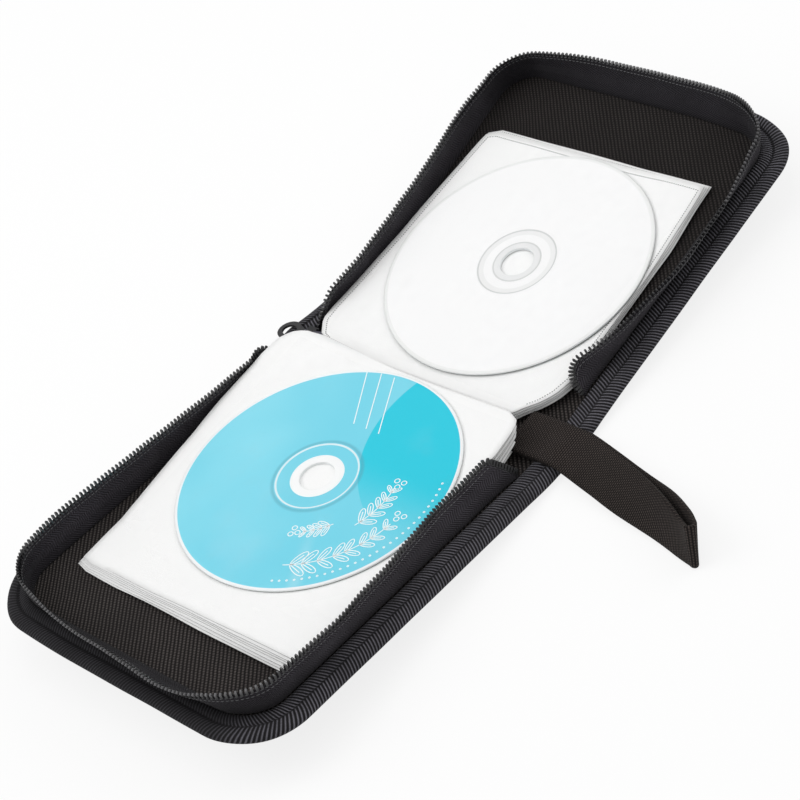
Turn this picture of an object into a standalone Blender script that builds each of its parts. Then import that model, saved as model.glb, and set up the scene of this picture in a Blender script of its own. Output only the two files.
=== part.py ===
# Zip-round disc wallet, lying open as a shallow V, for Blender 4.5.
# Run with: blender --background --python part.py
# X runs along the opened wallet, Y along its spine, Z up. The origin is the middle of the
# spine's underside. The front half points to -X and the back half to +X. Sizes are in mm.
import math

import bmesh
import bpy
import numpy as np
from mathutils import Matrix, Vector

MM = 0.001

# The disc that the wallet is made for
DISC_D = 120.0
DISC_T = 1.2
DISC_HOLE = 15.0
DISC_RING_R = 17.2       # raised stacking ring
DISC_RING_H = 0.2

# Covers, seen flat
LENGTH_ROOM = 60.0       # length of a half beyond the disc's diameter
SIDE_ROOM = 23.1         # a centred disc's edge to the side edge of the cover
CORNER_R = 28.0          # outer corners of each half
TILT = math.radians(7.2)  # each half rises from the spine by this much
BRIM = 12.0              # edge of the cover to the foot of the zip wall

# Thicknesses and clearances
GAP = 0.3                # between neighbouring pieces
HINGE_GAP = 0.15         # each side of the fold, where nothing stands above its axis
TAPE_T = 0.5             # binding tape
FABRIC_T = 0.5           # outer fabric
BOARD_T = 0.9            # stiffener
LINING_T = 0.4           # lining
EDGE_INSET = 1.2         # fabric and lining stop this far inside the edge of the binding
BOARD_INSET = 15.0       # the stiffener stops inside the seam under the zip wall
BIND_CHAMFER = 0.9       # rounded edge of the binding
BIND_UNDER = 9.0         # how far the binding reaches under the cover

# Zip
WALL_W = 12.4            # woven tape, foot to edge
WALL_T = 0.8
FOOT_LIFT = 0.25         # so that the leaning tape clears the lining
WALL_BOW = 0.7           # the tape swells outwards between foot and teeth
WALL_CLEAR = 1.6         # room beside the foot for the leaning tape
WALL_START = (10.0, 7.0)  # wall's ends, beyond the fold: strap side, slider side
TOOTH_PITCH = 2.0
TOOTH_CREST = 0.9        # flat top of a tooth, along the zip
TOOTH_ROOT = 0.4         # the cord that the teeth stand on
TOOTH_H = 1.5            # tooth above its cord
TOOTH_T = 1.5            # across the tape
END_ROOM = 2.5           # wall's end to the end of its teeth's cord
CLOSE_GAP = 0.3          # between each half's teeth and the middle plane, closed
END_R = {-1: (4.0, 9.0), 1: (9.0, 9.0)}  # wall's rounded ends: strap side, slider side
# Lean of the wall in degrees, outwards positive, at even steps from the strap side's end
# round the outer end to the slider side's end
LEAN = {-1: (-24, -14, 4, 13, 4, 36, 48, 41, 14, 2, 12, 1, -4, -5),
        1: (-10, 24, 42, 40, 16, 40, 50, 48, 14, -10, -8, -24, -24, -24)}

# Sleeves
SLEEVE_T = 0.4           # the top sleeve's white backing
FILM_T = 0.3             # the clear window
LEAF_STEP = 0.9          # each leaf's end lies this far behind the one below
LEAF_GROOVE = 0.8        # depth of the grooves between leaves
LEAF_SIDE_STEP = 0.35    # share of LEAF_STEP by which the side edges step inwards
LEAF_SEAT = 2.9          # the leaves' thickness where they are sewn to the root
FILM_INSET = 3.0         # the window stops inside the sleeve's welded edges
FILM_DRAPE = 22.0        # beyond the disc the window comes down over this width
END_LIFT = 0.05          # the leaves' free ends fan upwards by this slope
LEAF_ROUND = 9.0         # rounded corners beside the root
FOLD_RISE = 1.0          # the leaves lift this far off the lining when the case is shut

# For each half: where its leaves start, their length beyond the disc, their width beyond the
# disc's radius on the strap side and the slider side at both ends, their height and slope
# under the disc, and the place of the disc's edge and its middle along the spine
LEAVES = {
    -1: {"inner": 0.2, "beyond": 22.0, "strap": (1.5, 6.5), "slider": (3.0, -5.0),
         "height": 9.9, "slope": 0.077, "count": 5, "disc": (2.5, -5.0), "free": 8.0},
    1: {"inner": 5.0, "beyond": 5.1, "strap": (1.5, 4.0), "slider": (3.0, 0.5),
        "height": 6.9, "slope": 0.036, "count": 3, "disc": (10.9, -4.5), "free": 6.6},
}
ROOT_W = 2.4             # strip in which the leaves are sewn, on the spine
ROOT_H = 2.6
ROOT_LEN = 100.0
NOTCH = (18.0, 13.0)     # leaves' corner cut away beside the slider

# Strap handle: a loop of webbing sewn to the spine
STRAP_W = 20.0
STRAP_T = 1.3
STRAP_START = 20.1       # its sewn end, inside the cover's edge
STRAP_FREE = (2.5, 20.0)  # from the cover's edge: where it leaves the binding, the run down
# Middle of the folded strap from the spine to the tip, as x and the distance inside the
# cover's edge, with the tilt of its width
STRAP_ROUTE = [((0.0, STRAP_START), 0), ((0.0, 11.1), 0), ((-0.3, -0.9), 0), ((-2.2, -10.9), 8),
               ((-5.0, -20.9), 24), ((-10.2, -38.9), 42), ((-15.2, -57.9), 60),
               ((-19.6, -72.9), 72)]
STRAP_OPEN = (0.0, 0.0, 0.0, 0.3, 1.6, 5.2, 8.2, 7.2)   # extra space between its layers

# Slider and pull
SLIDER_X = 4.6
SLIDER_IN = 19.6         # its middle inside the cover's edge
SLIDER_L = 10.5
SLIDER_W = 9.0
SLIDER_NOSE = 5.5        # width at the closed end
PLATE_T = 1.0
CHAIN_T = 0.7            # zip tail held between the slider's plates
CHAIN_W = 13.0
CHAIN_IN = 11.6          # end of the chain inside the cover's edge
BRIDGE_W = 2.0
BRIDGE_L = 8.4
BRIDGE_BAR = 0.9
BRIDGE_EYE_L = 6.2
PIN_T = 1.0              # cross bar of the pull, under the bridge
PIN_CLEAR = 0.35
PIN_LIFT = 0.75          # pin above the slider's top plate
PIN_AHEAD = 1.9          # pin to the slider's middle, along the zip
PULL_DROOP = math.radians(9)   # the pull rests with its ring lowered to the binding
PULL_T = 1.0
PULL_RING = (5.2, 6.6)   # half width and half length of the oval ring
PULL_HOLE = (2.9, 4.2)
PULL_NECK = 7.2          # pin to the near end of the ring's straight neck

# Outline worked out from the disc
HALF_LENGTH = DISC_D + LENGTH_ROOM   # spine's middle line to the outer end of a half
HALF_WIDTH = DISC_D / 2 + SIDE_ROOM  # spine's middle to the side edge
SLIDER_AT = (SLIDER_X, HALF_WIDTH - SLIDER_IN)
CHAIN_END = HALF_WIDTH - CHAIN_IN

# Heights worked out from the thicknesses
FABRIC_Z = TAPE_T + GAP
BOARD_Z = FABRIC_Z + FABRIC_T + GAP
LINING_Z = BOARD_Z + BOARD_T + GAP
FOLD_Z = LINING_Z + LINING_T                 # axis of each cover, at the top of the lining
BIND_Z = FOLD_Z + GAP                        # underside of the binding's upper leg
BIND_TOP = BIND_Z + TAPE_T
FOOT_Z = FOLD_Z + GAP + FOOT_LIFT
TEETH_W = WALL_W + GAP + TOOTH_ROOT + TOOTH_H
FOLD_X = TEETH_W + GAP + CLOSE_GAP           # half the spine: the shut teeth meet at x = 0
BIND_GAP = BIND_TOP - FOLD_Z + HINGE_GAP     # binding kept back from the fold
CLOSED = math.pi / 2 - TILT                  # turn of a cover from lying open to shut

ALONG_Y = Vector((0.0, 1.0, 0.0))


def clear_scene():
    for thing in list(bpy.data.objects):
        bpy.data.objects.remove(thing, do_unlink=True)
    for group in list(bpy.data.collections):
        bpy.data.collections.remove(group)


clear_scene()
parts = bpy.data.collections.new("disc_wallet")
guides = bpy.data.collections.new("cutters")
bpy.context.scene.collection.children.link(parts)
bpy.context.scene.collection.children.link(guides)


def material(name, colour, roughness, metallic=0.0, alpha=1.0):
    mat = bpy.data.materials.new(name)
    mat.use_nodes = True
    shader = mat.node_tree.nodes["Principled BSDF"]
    shader.inputs["Base Color"].default_value = (*colour, 1.0)
    shader.inputs["Roughness"].default_value = roughness
    shader.inputs["Metallic"].default_value = metallic
    shader.inputs["Alpha"].default_value = alpha
    return mat


MATERIALS = {
    "outer_fabric": material("outer_fabric", (0.018, 0.016, 0.016), 0.85),
    "board": material("board", (0.35, 0.28, 0.2), 0.8),
    "lining": material("lining", (0.022, 0.018, 0.016), 0.9),
    "binding": material("binding", (0.022, 0.021, 0.024), 0.75),
    "zip_tape": material("zip_tape", (0.03, 0.028, 0.036), 0.8),
    "zip_teeth": material("zip_teeth", (0.012, 0.012, 0.013), 0.3),
    "sleeve": material("sleeve", (0.86, 0.86, 0.85), 0.7),
    "film": material("film", (0.95, 0.96, 0.97), 0.1, alpha=0.2),
    "blue_disc": material("blue_disc", (0.12, 0.62, 0.78), 0.25),
    "white_disc": material("white_disc", (0.88, 0.88, 0.88), 0.25),
    "webbing": material("webbing", (0.02, 0.017, 0.016), 0.85),
    "slider": material("slider", (0.16, 0.15, 0.2), 0.35, 0.6),
    "pull": material("pull", (0.02, 0.02, 0.022), 0.4),
}


def finish_object(obj, slot, parent=None, group=parts):
    group.objects.link(obj)
    if slot:
        obj.data.materials.clear()
        obj.data.materials.append(MATERIALS[slot])
    obj.parent = parent
    return obj


def mesh_object(name, bm, slot, parent=None, group=parts, smooth=None):
    mesh = bpy.data.meshes.new(name)
    bm.to_mesh(mesh)
    bm.free()
    obj = bpy.data.objects.new(name, mesh)
    finish_object(obj, slot, parent, group)
    if smooth:
        mesh.shade_smooth()
        mesh.set_sharp_from_angle(angle=math.radians(smooth))
    return obj


def empty(name, place, tilt):
    obj = bpy.data.objects.new(name, None)
    obj.location = Vector(place) * MM
    obj.rotation_euler = (0.0, tilt, 0.0)
    obj.empty_display_size = 0.01
    parts.objects.link(obj)
    return obj


def solidify(obj, thickness, offset=0.0):
    mod = obj.modifiers.new("thickness", "SOLIDIFY")
    mod.thickness = thickness * MM
    mod.offset = offset
    mod.use_even_offset = True
    mod.use_quality_normals = True
    return obj


def boolean(obj, cutter, operation):
    mod = obj.modifiers.new(cutter.name, "BOOLEAN")
    mod.operation = operation
    mod.solver = "EXACT"
    mod.object = cutter
    cutter.hide_render = True
    cutter.display_type = "WIRE"
    return obj


def sheet(name, slot, columns, rows, place, thickness, parent=None, smooth=40):
    """A grid whose point (column, row) goes to place(column, row), given a thickness."""
    bm = bmesh.new()
    bmesh.ops.create_grid(bm, x_segments=columns, y_segments=rows, size=0.5)
    for vert in bm.verts:
        column = round((vert.co.x + 0.5) * columns)
        row = round((vert.co.y + 0.5) * rows)
        vert.co = Vector(place(column, row)) * MM
    return solidify(mesh_object(name, bm, slot, parent, smooth=smooth), thickness)


def plate(name, slot, outline, low, high, parent=None, group=parts):
    """A flat outline in X and Y, between the heights low and high."""
    area = sum(a[0] * b[1] - b[0] * a[1] for a, b in zip(outline, outline[1:] + outline[:1]))
    if area < 0:
        outline = outline[::-1]
    curve = bpy.data.curves.new(name, "CURVE")
    curve.dimensions = "2D"
    curve.fill_mode = "BOTH"
    curve.extrude = (high - low) / 2 * MM
    spline = curve.splines.new("POLY")
    spline.points.add(len(outline) - 1)
    for point, (x, y) in zip(spline.points, outline):
        point.co = (x * MM, y * MM, 0.0, 1.0)
    spline.use_cyclic_u = True
    obj = bpy.data.objects.new(name, curve)
    obj.location.z = (low + high) / 2 * MM
    return finish_object(obj, slot, parent, group)


def as_mesh(obj):
    """A curve object made a mesh with its caps joined, so that it can be cut."""
    bpy.context.view_layer.update()
    evaluated = obj.evaluated_get(bpy.context.evaluated_depsgraph_get())
    mesh = bpy.data.meshes.new_from_object(evaluated)
    bm = bmesh.new()
    bm.from_mesh(mesh)
    bmesh.ops.remove_doubles(bm, verts=bm.verts, dist=1e-6)
    bmesh.ops.recalc_face_normals(bm, faces=bm.faces)
    bm.to_mesh(mesh)
    bm.free()
    name = obj.name
    parent = obj.parent
    group = obj.users_collection[0]
    place = obj.matrix_basis.copy()
    bpy.data.objects.remove(obj, do_unlink=True)
    solid = bpy.data.objects.new(name, mesh)
    solid.parent = parent
    solid.matrix_basis = place
    group.objects.link(solid)
    return solid


def box(name, slot, low, high, parent=None, group=parts, bevel=0.0):
    bm = bmesh.new()
    bmesh.ops.create_cube(bm, size=1.0)
    size = [b - a for a, b in zip(low, high)]
    bmesh.ops.scale(bm, vec=Vector(size) * MM, verts=bm.verts)
    obj = mesh_object(name, bm, slot, parent, group)
    obj.location = Vector([(a + b) / 2 for a, b in zip(low, high)]) * MM
    if bevel:
        mod = obj.modifiers.new("edges", "BEVEL")
        mod.width = bevel * MM
        mod.segments = 2
    return obj


# Outline of a cover, followed from the strap side round the outer end to the slider side

def rim(inset, start, side_steps=8, corner_steps=8, end_steps=6, finish=None):
    """Points (u, y) and outward directions, inset from the edge, u measured from the spine."""
    finish = start if finish is None else finish
    radius = CORNER_R - inset
    far = HALF_LENGTH - CORNER_R
    half = HALF_WIDTH - CORNER_R
    points = []
    for k in range(side_steps):
        points.append((start + (far - start) * k / side_steps, -half - radius, 0.0, -1.0))
    for k in range(corner_steps + 1):
        angle = -math.pi / 2 + math.pi / 2 * k / corner_steps
        out = (math.cos(angle), math.sin(angle))
        points.append((far + radius * out[0], -half + radius * out[1], *out))
    for k in range(1, end_steps):
        points.append((far + radius, -half + 2 * half * k / end_steps, 1.0, 0.0))
    for k in range(corner_steps + 1):
        angle = math.pi / 2 * k / corner_steps
        out = (math.cos(angle), math.sin(angle))
        points.append((far + radius * out[0], half + radius * out[1], *out))
    for k in range(1, side_steps + 1):
        points.append((far + (finish - far) * k / side_steps, half + radius, 0.0, 1.0))
    return points


def cover_plate(name, slot, side, inset, low, high, parent):
    start = FOLD_X + HINGE_GAP
    outline = [(side * (u - FOLD_X), y) for u, y, nu, ny in rim(inset, start, 1, 8, 1)]
    return plate(name, slot, outline, low - FOLD_Z, high - FOLD_Z, parent)


# Section of the binding tape as (inset, height) on its middle surface
BIND_SECTION = [(BRIM - WALL_CLEAR, BIND_Z + TAPE_T / 2),
                (TAPE_T / 2 + BIND_CHAMFER, BIND_Z + TAPE_T / 2),
                (TAPE_T / 2, BIND_Z + TAPE_T / 2 - BIND_CHAMFER),
                (TAPE_T / 2, TAPE_T / 2 + BIND_CHAMFER),
                (TAPE_T / 2 + BIND_CHAMFER, TAPE_T / 2),
                (BIND_UNDER, TAPE_T / 2)]


def cover_binding(name, side, parent):
    rails = [rim(inset, FOLD_X + BIND_GAP) for inset, height in BIND_SECTION]

    def place(column, row):
        u, y = rails[row][column][:2]
        return side * (u - FOLD_X), y, BIND_SECTION[row][1] - FOLD_Z

    return sheet(name, "binding", len(rails[0]) - 1, len(rails) - 1, place, TAPE_T, parent)


def spine_binding(name, end):
    """Binding over the end of the spine, end being -1 on the strap side and 1 at the slider."""
    reach = FOLD_X - BIND_GAP

    def place(column, row):
        inset, height = BIND_SECTION[row]
        return (-reach, reach)[column], end * (HALF_WIDTH - inset), height

    return sheet(name, "binding", 1, len(BIND_SECTION) - 1, place, TAPE_T)


# Zip wall

class Wall:
    """The leaning zip wall of one half, as a surface over (s along the foot, w up the tape)."""

    def __init__(self, side):
        self.side = side
        self.foot = rim(BRIM, FOLD_X + WALL_START[0], 24, 10, 14, FOLD_X + WALL_START[1])
        steps = [math.dist(a[:2], b[:2]) for a, b in zip(self.foot, self.foot[1:])]
        self.s = np.concatenate(([0.0], np.cumsum(steps)))
        self.length = float(self.s[-1])
        self.keys = np.linspace(0.0, self.length, len(LEAN[side]))

    def lean(self, s):
        k = min(int(np.searchsorted(self.keys, s, side="right")) - 1, len(self.keys) - 2)
        k = max(k, 0)
        t = min(max((s - self.keys[k]) / (self.keys[k + 1] - self.keys[k]), 0.0), 1.0)
        t = t * t * (3 - 2 * t)
        return math.radians(LEAN[self.side][k] * (1 - t) + LEAN[self.side][k + 1] * t)

    def point(self, s, w):
        columns = np.array(self.foot)
        u, y, nu, ny = [float(np.interp(s, self.s, columns[:, k])) for k in range(4)]
        angle = self.lean(s)
        out = w * math.sin(angle) + WALL_BOW * math.sin(math.pi * min(w / WALL_W, 1.0))
        return Vector((self.side * (u + nu * out - FOLD_X), y + ny * out,
                       FOOT_Z - FOLD_Z + w * math.cos(angle)))

    def height(self, s):
        """Height of the tape's edge at s, rounded off at both ends."""
        full = WALL_W
        for radius, d in zip(END_R[self.side], (s, self.length - s)):
            inside = d - END_ROOM - GAP
            radius = radius - GAP
            if inside < radius:
                full -= radius - math.sqrt(max(radius ** 2 - (radius - inside) ** 2, 0.0))
        return full

    def edge(self):
        """Points (s, w) of the cord's foot, up one end, along the edge and down the other."""
        full = WALL_W + GAP
        first, last = END_R[self.side]
        start = END_ROOM
        end = self.length - END_ROOM
        path = [(start, TOOTH_PITCH)]
        turn = np.linspace(0.0, math.pi / 2, 7)
        path += [(start + first - first * math.cos(a), full - first + first * math.sin(a))
                 for a in turn]
        path += [(s, full) for s in self.s if start + first + 1 < s < end - last - 1]
        path += [(end - last + last * math.sin(a), full - last + last * math.cos(a))
                 for a in turn]
        path.append((end, TOOTH_PITCH))
        return path

    def stations(self):
        """Positions of the tape's columns, close together at its rounded ends."""
        first, last = [r - GAP for r in END_R[self.side]]
        start = END_ROOM + GAP
        end = self.length - END_ROOM - GAP
        turn = np.linspace(0.0, math.pi / 2, 5)
        here = [start + first * (1 - math.cos(a)) for a in turn]
        here += [end - last * (1 - math.cos(a)) for a in turn]
        for k, s in enumerate(self.s):
            on_corner = abs(self.foot[k][2] * self.foot[k][3]) > 0.01
            if start + first + 3 < s < end - last - 3 and (on_corner or k % 2 == 0):
                here.append(float(s))
        return sorted(here)


def zip_tape(name, wall, parent):
    stations = wall.stations()

    def place(column, row):
        s = stations[column]
        return wall.point(s, wall.height(s) * row / 2)

    return sheet(name, "zip_tape", len(stations) - 1, 2, place, WALL_T, parent)


def even_steps(points, step):
    """Positions at even steps along a chain of 3D points, as (index, share) pairs."""
    lengths = [0.0]
    for a, b in zip(points, points[1:]):
        lengths.append(lengths[-1] + (b - a).length)
    count = round(lengths[-1] / step)
    return np.interp(np.linspace(0.0, lengths[-1], count + 1), lengths, range(len(points)))


def zip_teeth(name, wall, parent):
    """A cord with one tooth for each pitch, lofted along the wall's edge."""
    low = wall.edge()
    chain = [wall.point(*p) for p in low]
    beats = even_steps(chain, TOOTH_PITCH)
    path = np.array(low)
    crest = TOOTH_CREST / TOOTH_PITCH / 2

    def frame(at):
        s, w = [float(np.interp(at, range(len(path)), path[:, k])) for k in range(2)]
        ahead = np.array([np.interp(at + 0.05, range(len(path)), path[:, k]) for k in range(2)])
        back = np.array([np.interp(at - 0.05, range(len(path)), path[:, k]) for k in range(2)])
        run = ahead - back
        run = run / np.linalg.norm(run)
        base = wall.point(s, w)
        up = wall.point(s - run[1] * 0.5, w + run[0] * 0.5) - base
        along = wall.point(s + run[0] * 0.5, w + run[1] * 0.5) - base
        up.normalize()
        across = along.cross(up).normalized()
        return base, up, across

    bm = bmesh.new()

    def pair(at, height):
        base, up, across = frame(at)
        return [bm.verts.new((base + up * height + across * k * TOOTH_T / 2) * MM)
                for k in (-1, 1)]

    foot = [pair(at, 0.0) for at in beats]
    valley = [pair(at, TOOTH_ROOT) for at in beats]
    for k, (a, b) in enumerate(zip(beats, beats[1:])):
        left = pair(a + (b - a) * (0.5 - crest), TOOTH_ROOT + TOOTH_H)
        right = pair(a + (b - a) * (0.5 + crest), TOOTH_ROOT + TOOTH_H)
        top = [valley[k], left, right, valley[k + 1]]
        for p, q in zip(top, top[1:]):
            bm.faces.new((p[0], q[0], q[1], p[1]))
        for j in range(2):
            bm.faces.new([foot[k][j], foot[k + 1][j]] + [p[j] for p in top[::-1]])
        bm.faces.new((foot[k][0], foot[k][1], foot[k + 1][1], foot[k + 1][0]))
    for end in (0, -1):
        bm.faces.new((foot[end][0], valley[end][0], valley[end][1], foot[end][1]))
    bmesh.ops.recalc_face_normals(bm, faces=bm.faces)
    return mesh_object(name, bm, "zip_teeth", parent)


# Leaves, discs and windows. Each half's leaves turn about their own axis over the spine,
# placed so that they stand upright between the covers when the case is shut.

def turn(vector, angle):
    """(x, z) turned about Y by angle, the way that lifts the -X side."""
    x, z = vector
    return (x * math.cos(angle) + z * math.sin(angle), z * math.cos(angle) - x * math.sin(angle))


def page_axis(side):
    """World (x, z) of the axis that a half's leaves turn about."""
    shift = FOLD_X - LEAVES[side]["inner"] + GAP
    c = math.cos(CLOSED)
    s = math.sin(CLOSED)
    x = ((1 - c) * FOLD_RISE + s * shift) / (2 - 2 * c)
    z = ((1 - c) * shift - s * FOLD_RISE) / (2 - 2 * c)
    return side * (FOLD_X - x), FOLD_Z + z


def page_empty(side, name):
    x, z = page_axis(side)
    return empty(name, (x, 0.0, z), -side * TILT)


def page_offset(side):
    """From the cover's local coordinates to those of the leaves' empty."""
    x, z = page_axis(side)
    dx, dz = turn((side * x - FOLD_X, FOLD_Z - z), -TILT)
    return -side * dx, dz


def disc_middle(side):
    edge, y = LEAVES[side]["disc"]
    return edge + DISC_D / 2, y


def disc_end(side):
    return LEAVES[side]["disc"][0] + DISC_D


def leaf_end(side):
    return disc_end(side) + LEAVES[side]["beyond"]


def leaf_sides(side):
    """Edges (y) of the leaves: strap side, then slider side, each at the spine and the end."""
    leaf = LEAVES[side]
    return ([-DISC_D / 2 - w for w in leaf["strap"]], [DISC_D / 2 + w for w in leaf["slider"]])


def top_of_leaves(side, u):
    """Upper face of the leaves: a plane under the disc that lifts again at the free end."""
    leaf = LEAVES[side]
    beyond = max(u - disc_end(side), 0.0)
    return (leaf["height"] + leaf["slope"] * (disc_middle(side)[0] - u + beyond)
            + END_LIFT * beyond)


def under_leaves(side, u):
    """Lower face of the leaves, lifted over the spine so that they clear it as they turn."""
    over = max(FOLD_X - u, 0.0)
    reach = FOLD_X - LEAVES[side]["inner"]
    share = over / reach
    lift = over * math.tan(TILT) + (LEAVES[side]["free"] - LEAF_SEAT) * share ** 2
    return FOLD_Z + GAP + lift


def leaf_outline(side, setback):
    """Outline of a leaf as (u, y), its free edges setback inside the lowest leaf's."""
    inner = LEAVES[side]["inner"]
    outer = leaf_end(side) - setback
    (strap_in, strap_out), (slide_in, slide_out) = leaf_sides(side)
    cut_u, cut_y = NOTCH
    strap_edge = [(inner, strap_in + LEAF_ROUND - 1.0),
                  (inner + LEAF_ROUND / 3, strap_in + LEAF_ROUND / 3 - 0.5),
                  (inner + LEAF_ROUND, strap_in)]
    bend = disc_end(side)
    knots = [*np.linspace(inner + LEAF_ROUND, bend, 5)[1:], outer]
    for u in knots:
        y = np.interp(u, (inner + LEAF_ROUND, leaf_end(side)), (strap_in, strap_out))
        strap_edge.append((float(u), float(y) + setback * LEAF_SIDE_STEP))
    slide_edge = []
    for u in [outer, *np.linspace(bend, inner + cut_u, 5)]:
        y = np.interp(u, (inner + cut_u, leaf_end(side)), (slide_in, slide_out))
        slide_edge.append((float(u), float(y) - setback * LEAF_SIDE_STEP))
    slide_edge += [(inner + cut_u * 0.45, slide_in - cut_y * 0.25), (inner, slide_in - cut_y)]
    return strap_edge + slide_edge


def leaves(name, side, parent):
    """The bound leaves as one block, its sides grooved between leaf and leaf."""
    count = LEAVES[side]["count"]
    levels = []
    for k in range(count):
        levels.append((k / count, k * LEAF_STEP))
        levels.append(((k + 0.62) / count, k * LEAF_STEP))
        if k < count - 1:
            levels.append(((k + 0.7) / count, k * LEAF_STEP + LEAF_GROOVE))
            levels.append(((k + 0.95) / count, k * LEAF_STEP + LEAF_GROOVE))
    levels[-1] = (1.0, levels[-1][1])
    ox, oz = page_offset(side)
    bm = bmesh.new()
    rings = []
    for share, setback in levels:
        ring = []
        for u, y in leaf_outline(side, setback):
            low = under_leaves(side, u)
            h = low + (top_of_leaves(side, u) - low) * share
            u_world = u + (h - FOLD_Z) * math.tan(TILT) * max(1 - u / FOLD_X, 0.0)
            ring.append(bm.verts.new(Vector((side * (u_world - FOLD_X) + ox, y,
                                             h - FOLD_Z + oz)) * MM))
        rings.append(ring)
    for a, b in zip(rings, rings[1:]):
        for k in range(len(a)):
            j = (k + 1) % len(a)
            bm.faces.new((a[k], a[j], b[j], b[k]))
    half = len(rings[0]) // 2
    for ring in (rings[0], rings[-1]):
        for k in range(half - 1):
            bm.faces.new((ring[k], ring[k + 1], ring[-2 - k], ring[-1 - k]))
    bmesh.ops.recalc_face_normals(bm, faces=bm.faces)
    return mesh_object(name, bm, "sleeve", parent)


def top_sleeve(name, side, parent):
    """The white backing of the top pocket, lying on the block of leaves."""
    ox, oz = page_offset(side)
    outline = leaf_outline(side, LEAVES[side]["count"] * LEAF_STEP)
    half = len(outline) // 2

    def place(column, row):
        u, y = outline[column] if row == 0 else outline[-1 - column]
        u = max(u, LEAVES[side]["inner"] + 1.2)
        h = top_of_leaves(side, u) + GAP + SLEEVE_T / 2
        return side * (u - FOLD_X) + ox, y, h - FOLD_Z + oz

    return sheet(name, "sleeve", half - 1, 1, place, SLEEVE_T, parent)


def disc(name, slot, side, parent):
    """A turned disc with its raised stacking ring, lying on the top sleeve."""
    ox, oz = page_offset(side)
    u, y = disc_middle(side)
    ring = DISC_RING_R
    profile = [(DISC_HOLE / 2, 0.0), (DISC_D / 2, 0.0), (DISC_D / 2, DISC_T),
               (ring + 0.8, DISC_T), (ring, DISC_T + DISC_RING_H), (ring - 0.8, DISC_T),
               (DISC_HOLE / 2, DISC_T)]
    bm = bmesh.new()
    verts = [bm.verts.new((r * MM, 0.0, z * MM)) for r, z in profile]
    for a, b in zip(verts, verts[1:] + verts[:1]):
        bm.edges.new((a, b))
    obj = mesh_object(name, bm, slot, parent, smooth=30)
    base = top_of_leaves(side, u) + 2 * GAP + SLEEVE_T
    obj.location = Vector((side * (u - FOLD_X) + ox, y, base - FOLD_Z + oz)) * MM
    obj.rotation_euler = (0.0, side * math.atan(LEAVES[side]["slope"]), 0.0)
    mod = obj.modifiers.new("turned", "SCREW")
    mod.steps = 48
    mod.render_steps = 48
    mod.use_merge_vertices = True
    mod.use_normal_flip = True
    mod.merge_threshold = 0.00001
    return obj


def window(name, side, parent):
    """Clear film welded to the sleeve's edges and lifted over the disc."""
    ox, oz = page_offset(side)
    leaf = LEAVES[side]
    cu, cy = disc_middle(side)
    strap_edge, slide_edge = leaf_sides(side)
    inner = max(leaf["inner"] + FILM_INSET / 2, leaf["disc"][0] - FILM_INSET)
    outer = leaf_end(side) - leaf["count"] * LEAF_STEP - FILM_INSET
    low = max(strap_edge) + FILM_INSET
    high = min(slide_edge) - FILM_INSET
    lift = DISC_T + DISC_RING_H + GAP

    def place(column, row):
        u = inner + (outer - inner) * column / 10
        y = low + (high - low) * row / 10
        away = max(math.hypot(u - cu, y - cy) - DISC_D / 2, 0.0)
        share = 1.0 - min(away / FILM_DRAPE, 1.0)
        share = share * share * (3 - 2 * share)
        sleeve = top_of_leaves(side, u) + GAP + SLEEVE_T
        h = sleeve + GAP + FILM_T / 2 + lift * share
        return side * (u - FOLD_X) + ox, y, h - FOLD_Z + oz

    return sheet(name, "film", 10, 10, place, FILM_T, parent, smooth=60)


# Spine

def spine():
    edge = FOLD_X - HINGE_GAP
    side = HALF_WIDTH - EDGE_INSET
    flat = [(-edge, -side), (edge, -side), (edge, side), (-edge, side)]
    plate("spine_outer_fabric", "outer_fabric", flat, FABRIC_Z, FABRIC_Z + FABRIC_T)
    plate("spine_lining", "lining", flat, LINING_Z, LINING_Z + LINING_T)
    short = HALF_WIDTH - BOARD_INSET
    board = [(-edge, -short), (edge, -short), (edge, short), (-edge, short)]
    plate("spine_board", "board", board, BOARD_Z, BOARD_Z + BOARD_T)
    spine_binding("spine_binding_strap_side", -1)
    spine_binding("spine_binding_slider_side", 1)
    middle = (LEAVES[1]["inner"] - LEAVES[-1]["inner"]) / 2
    box("sleeve_root", "sleeve", (middle - ROOT_W / 2, -ROOT_LEN / 2, FOLD_Z + GAP),
        (middle + ROOT_W / 2, ROOT_LEN / 2, FOLD_Z + GAP + ROOT_H))


# Strap handle

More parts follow.
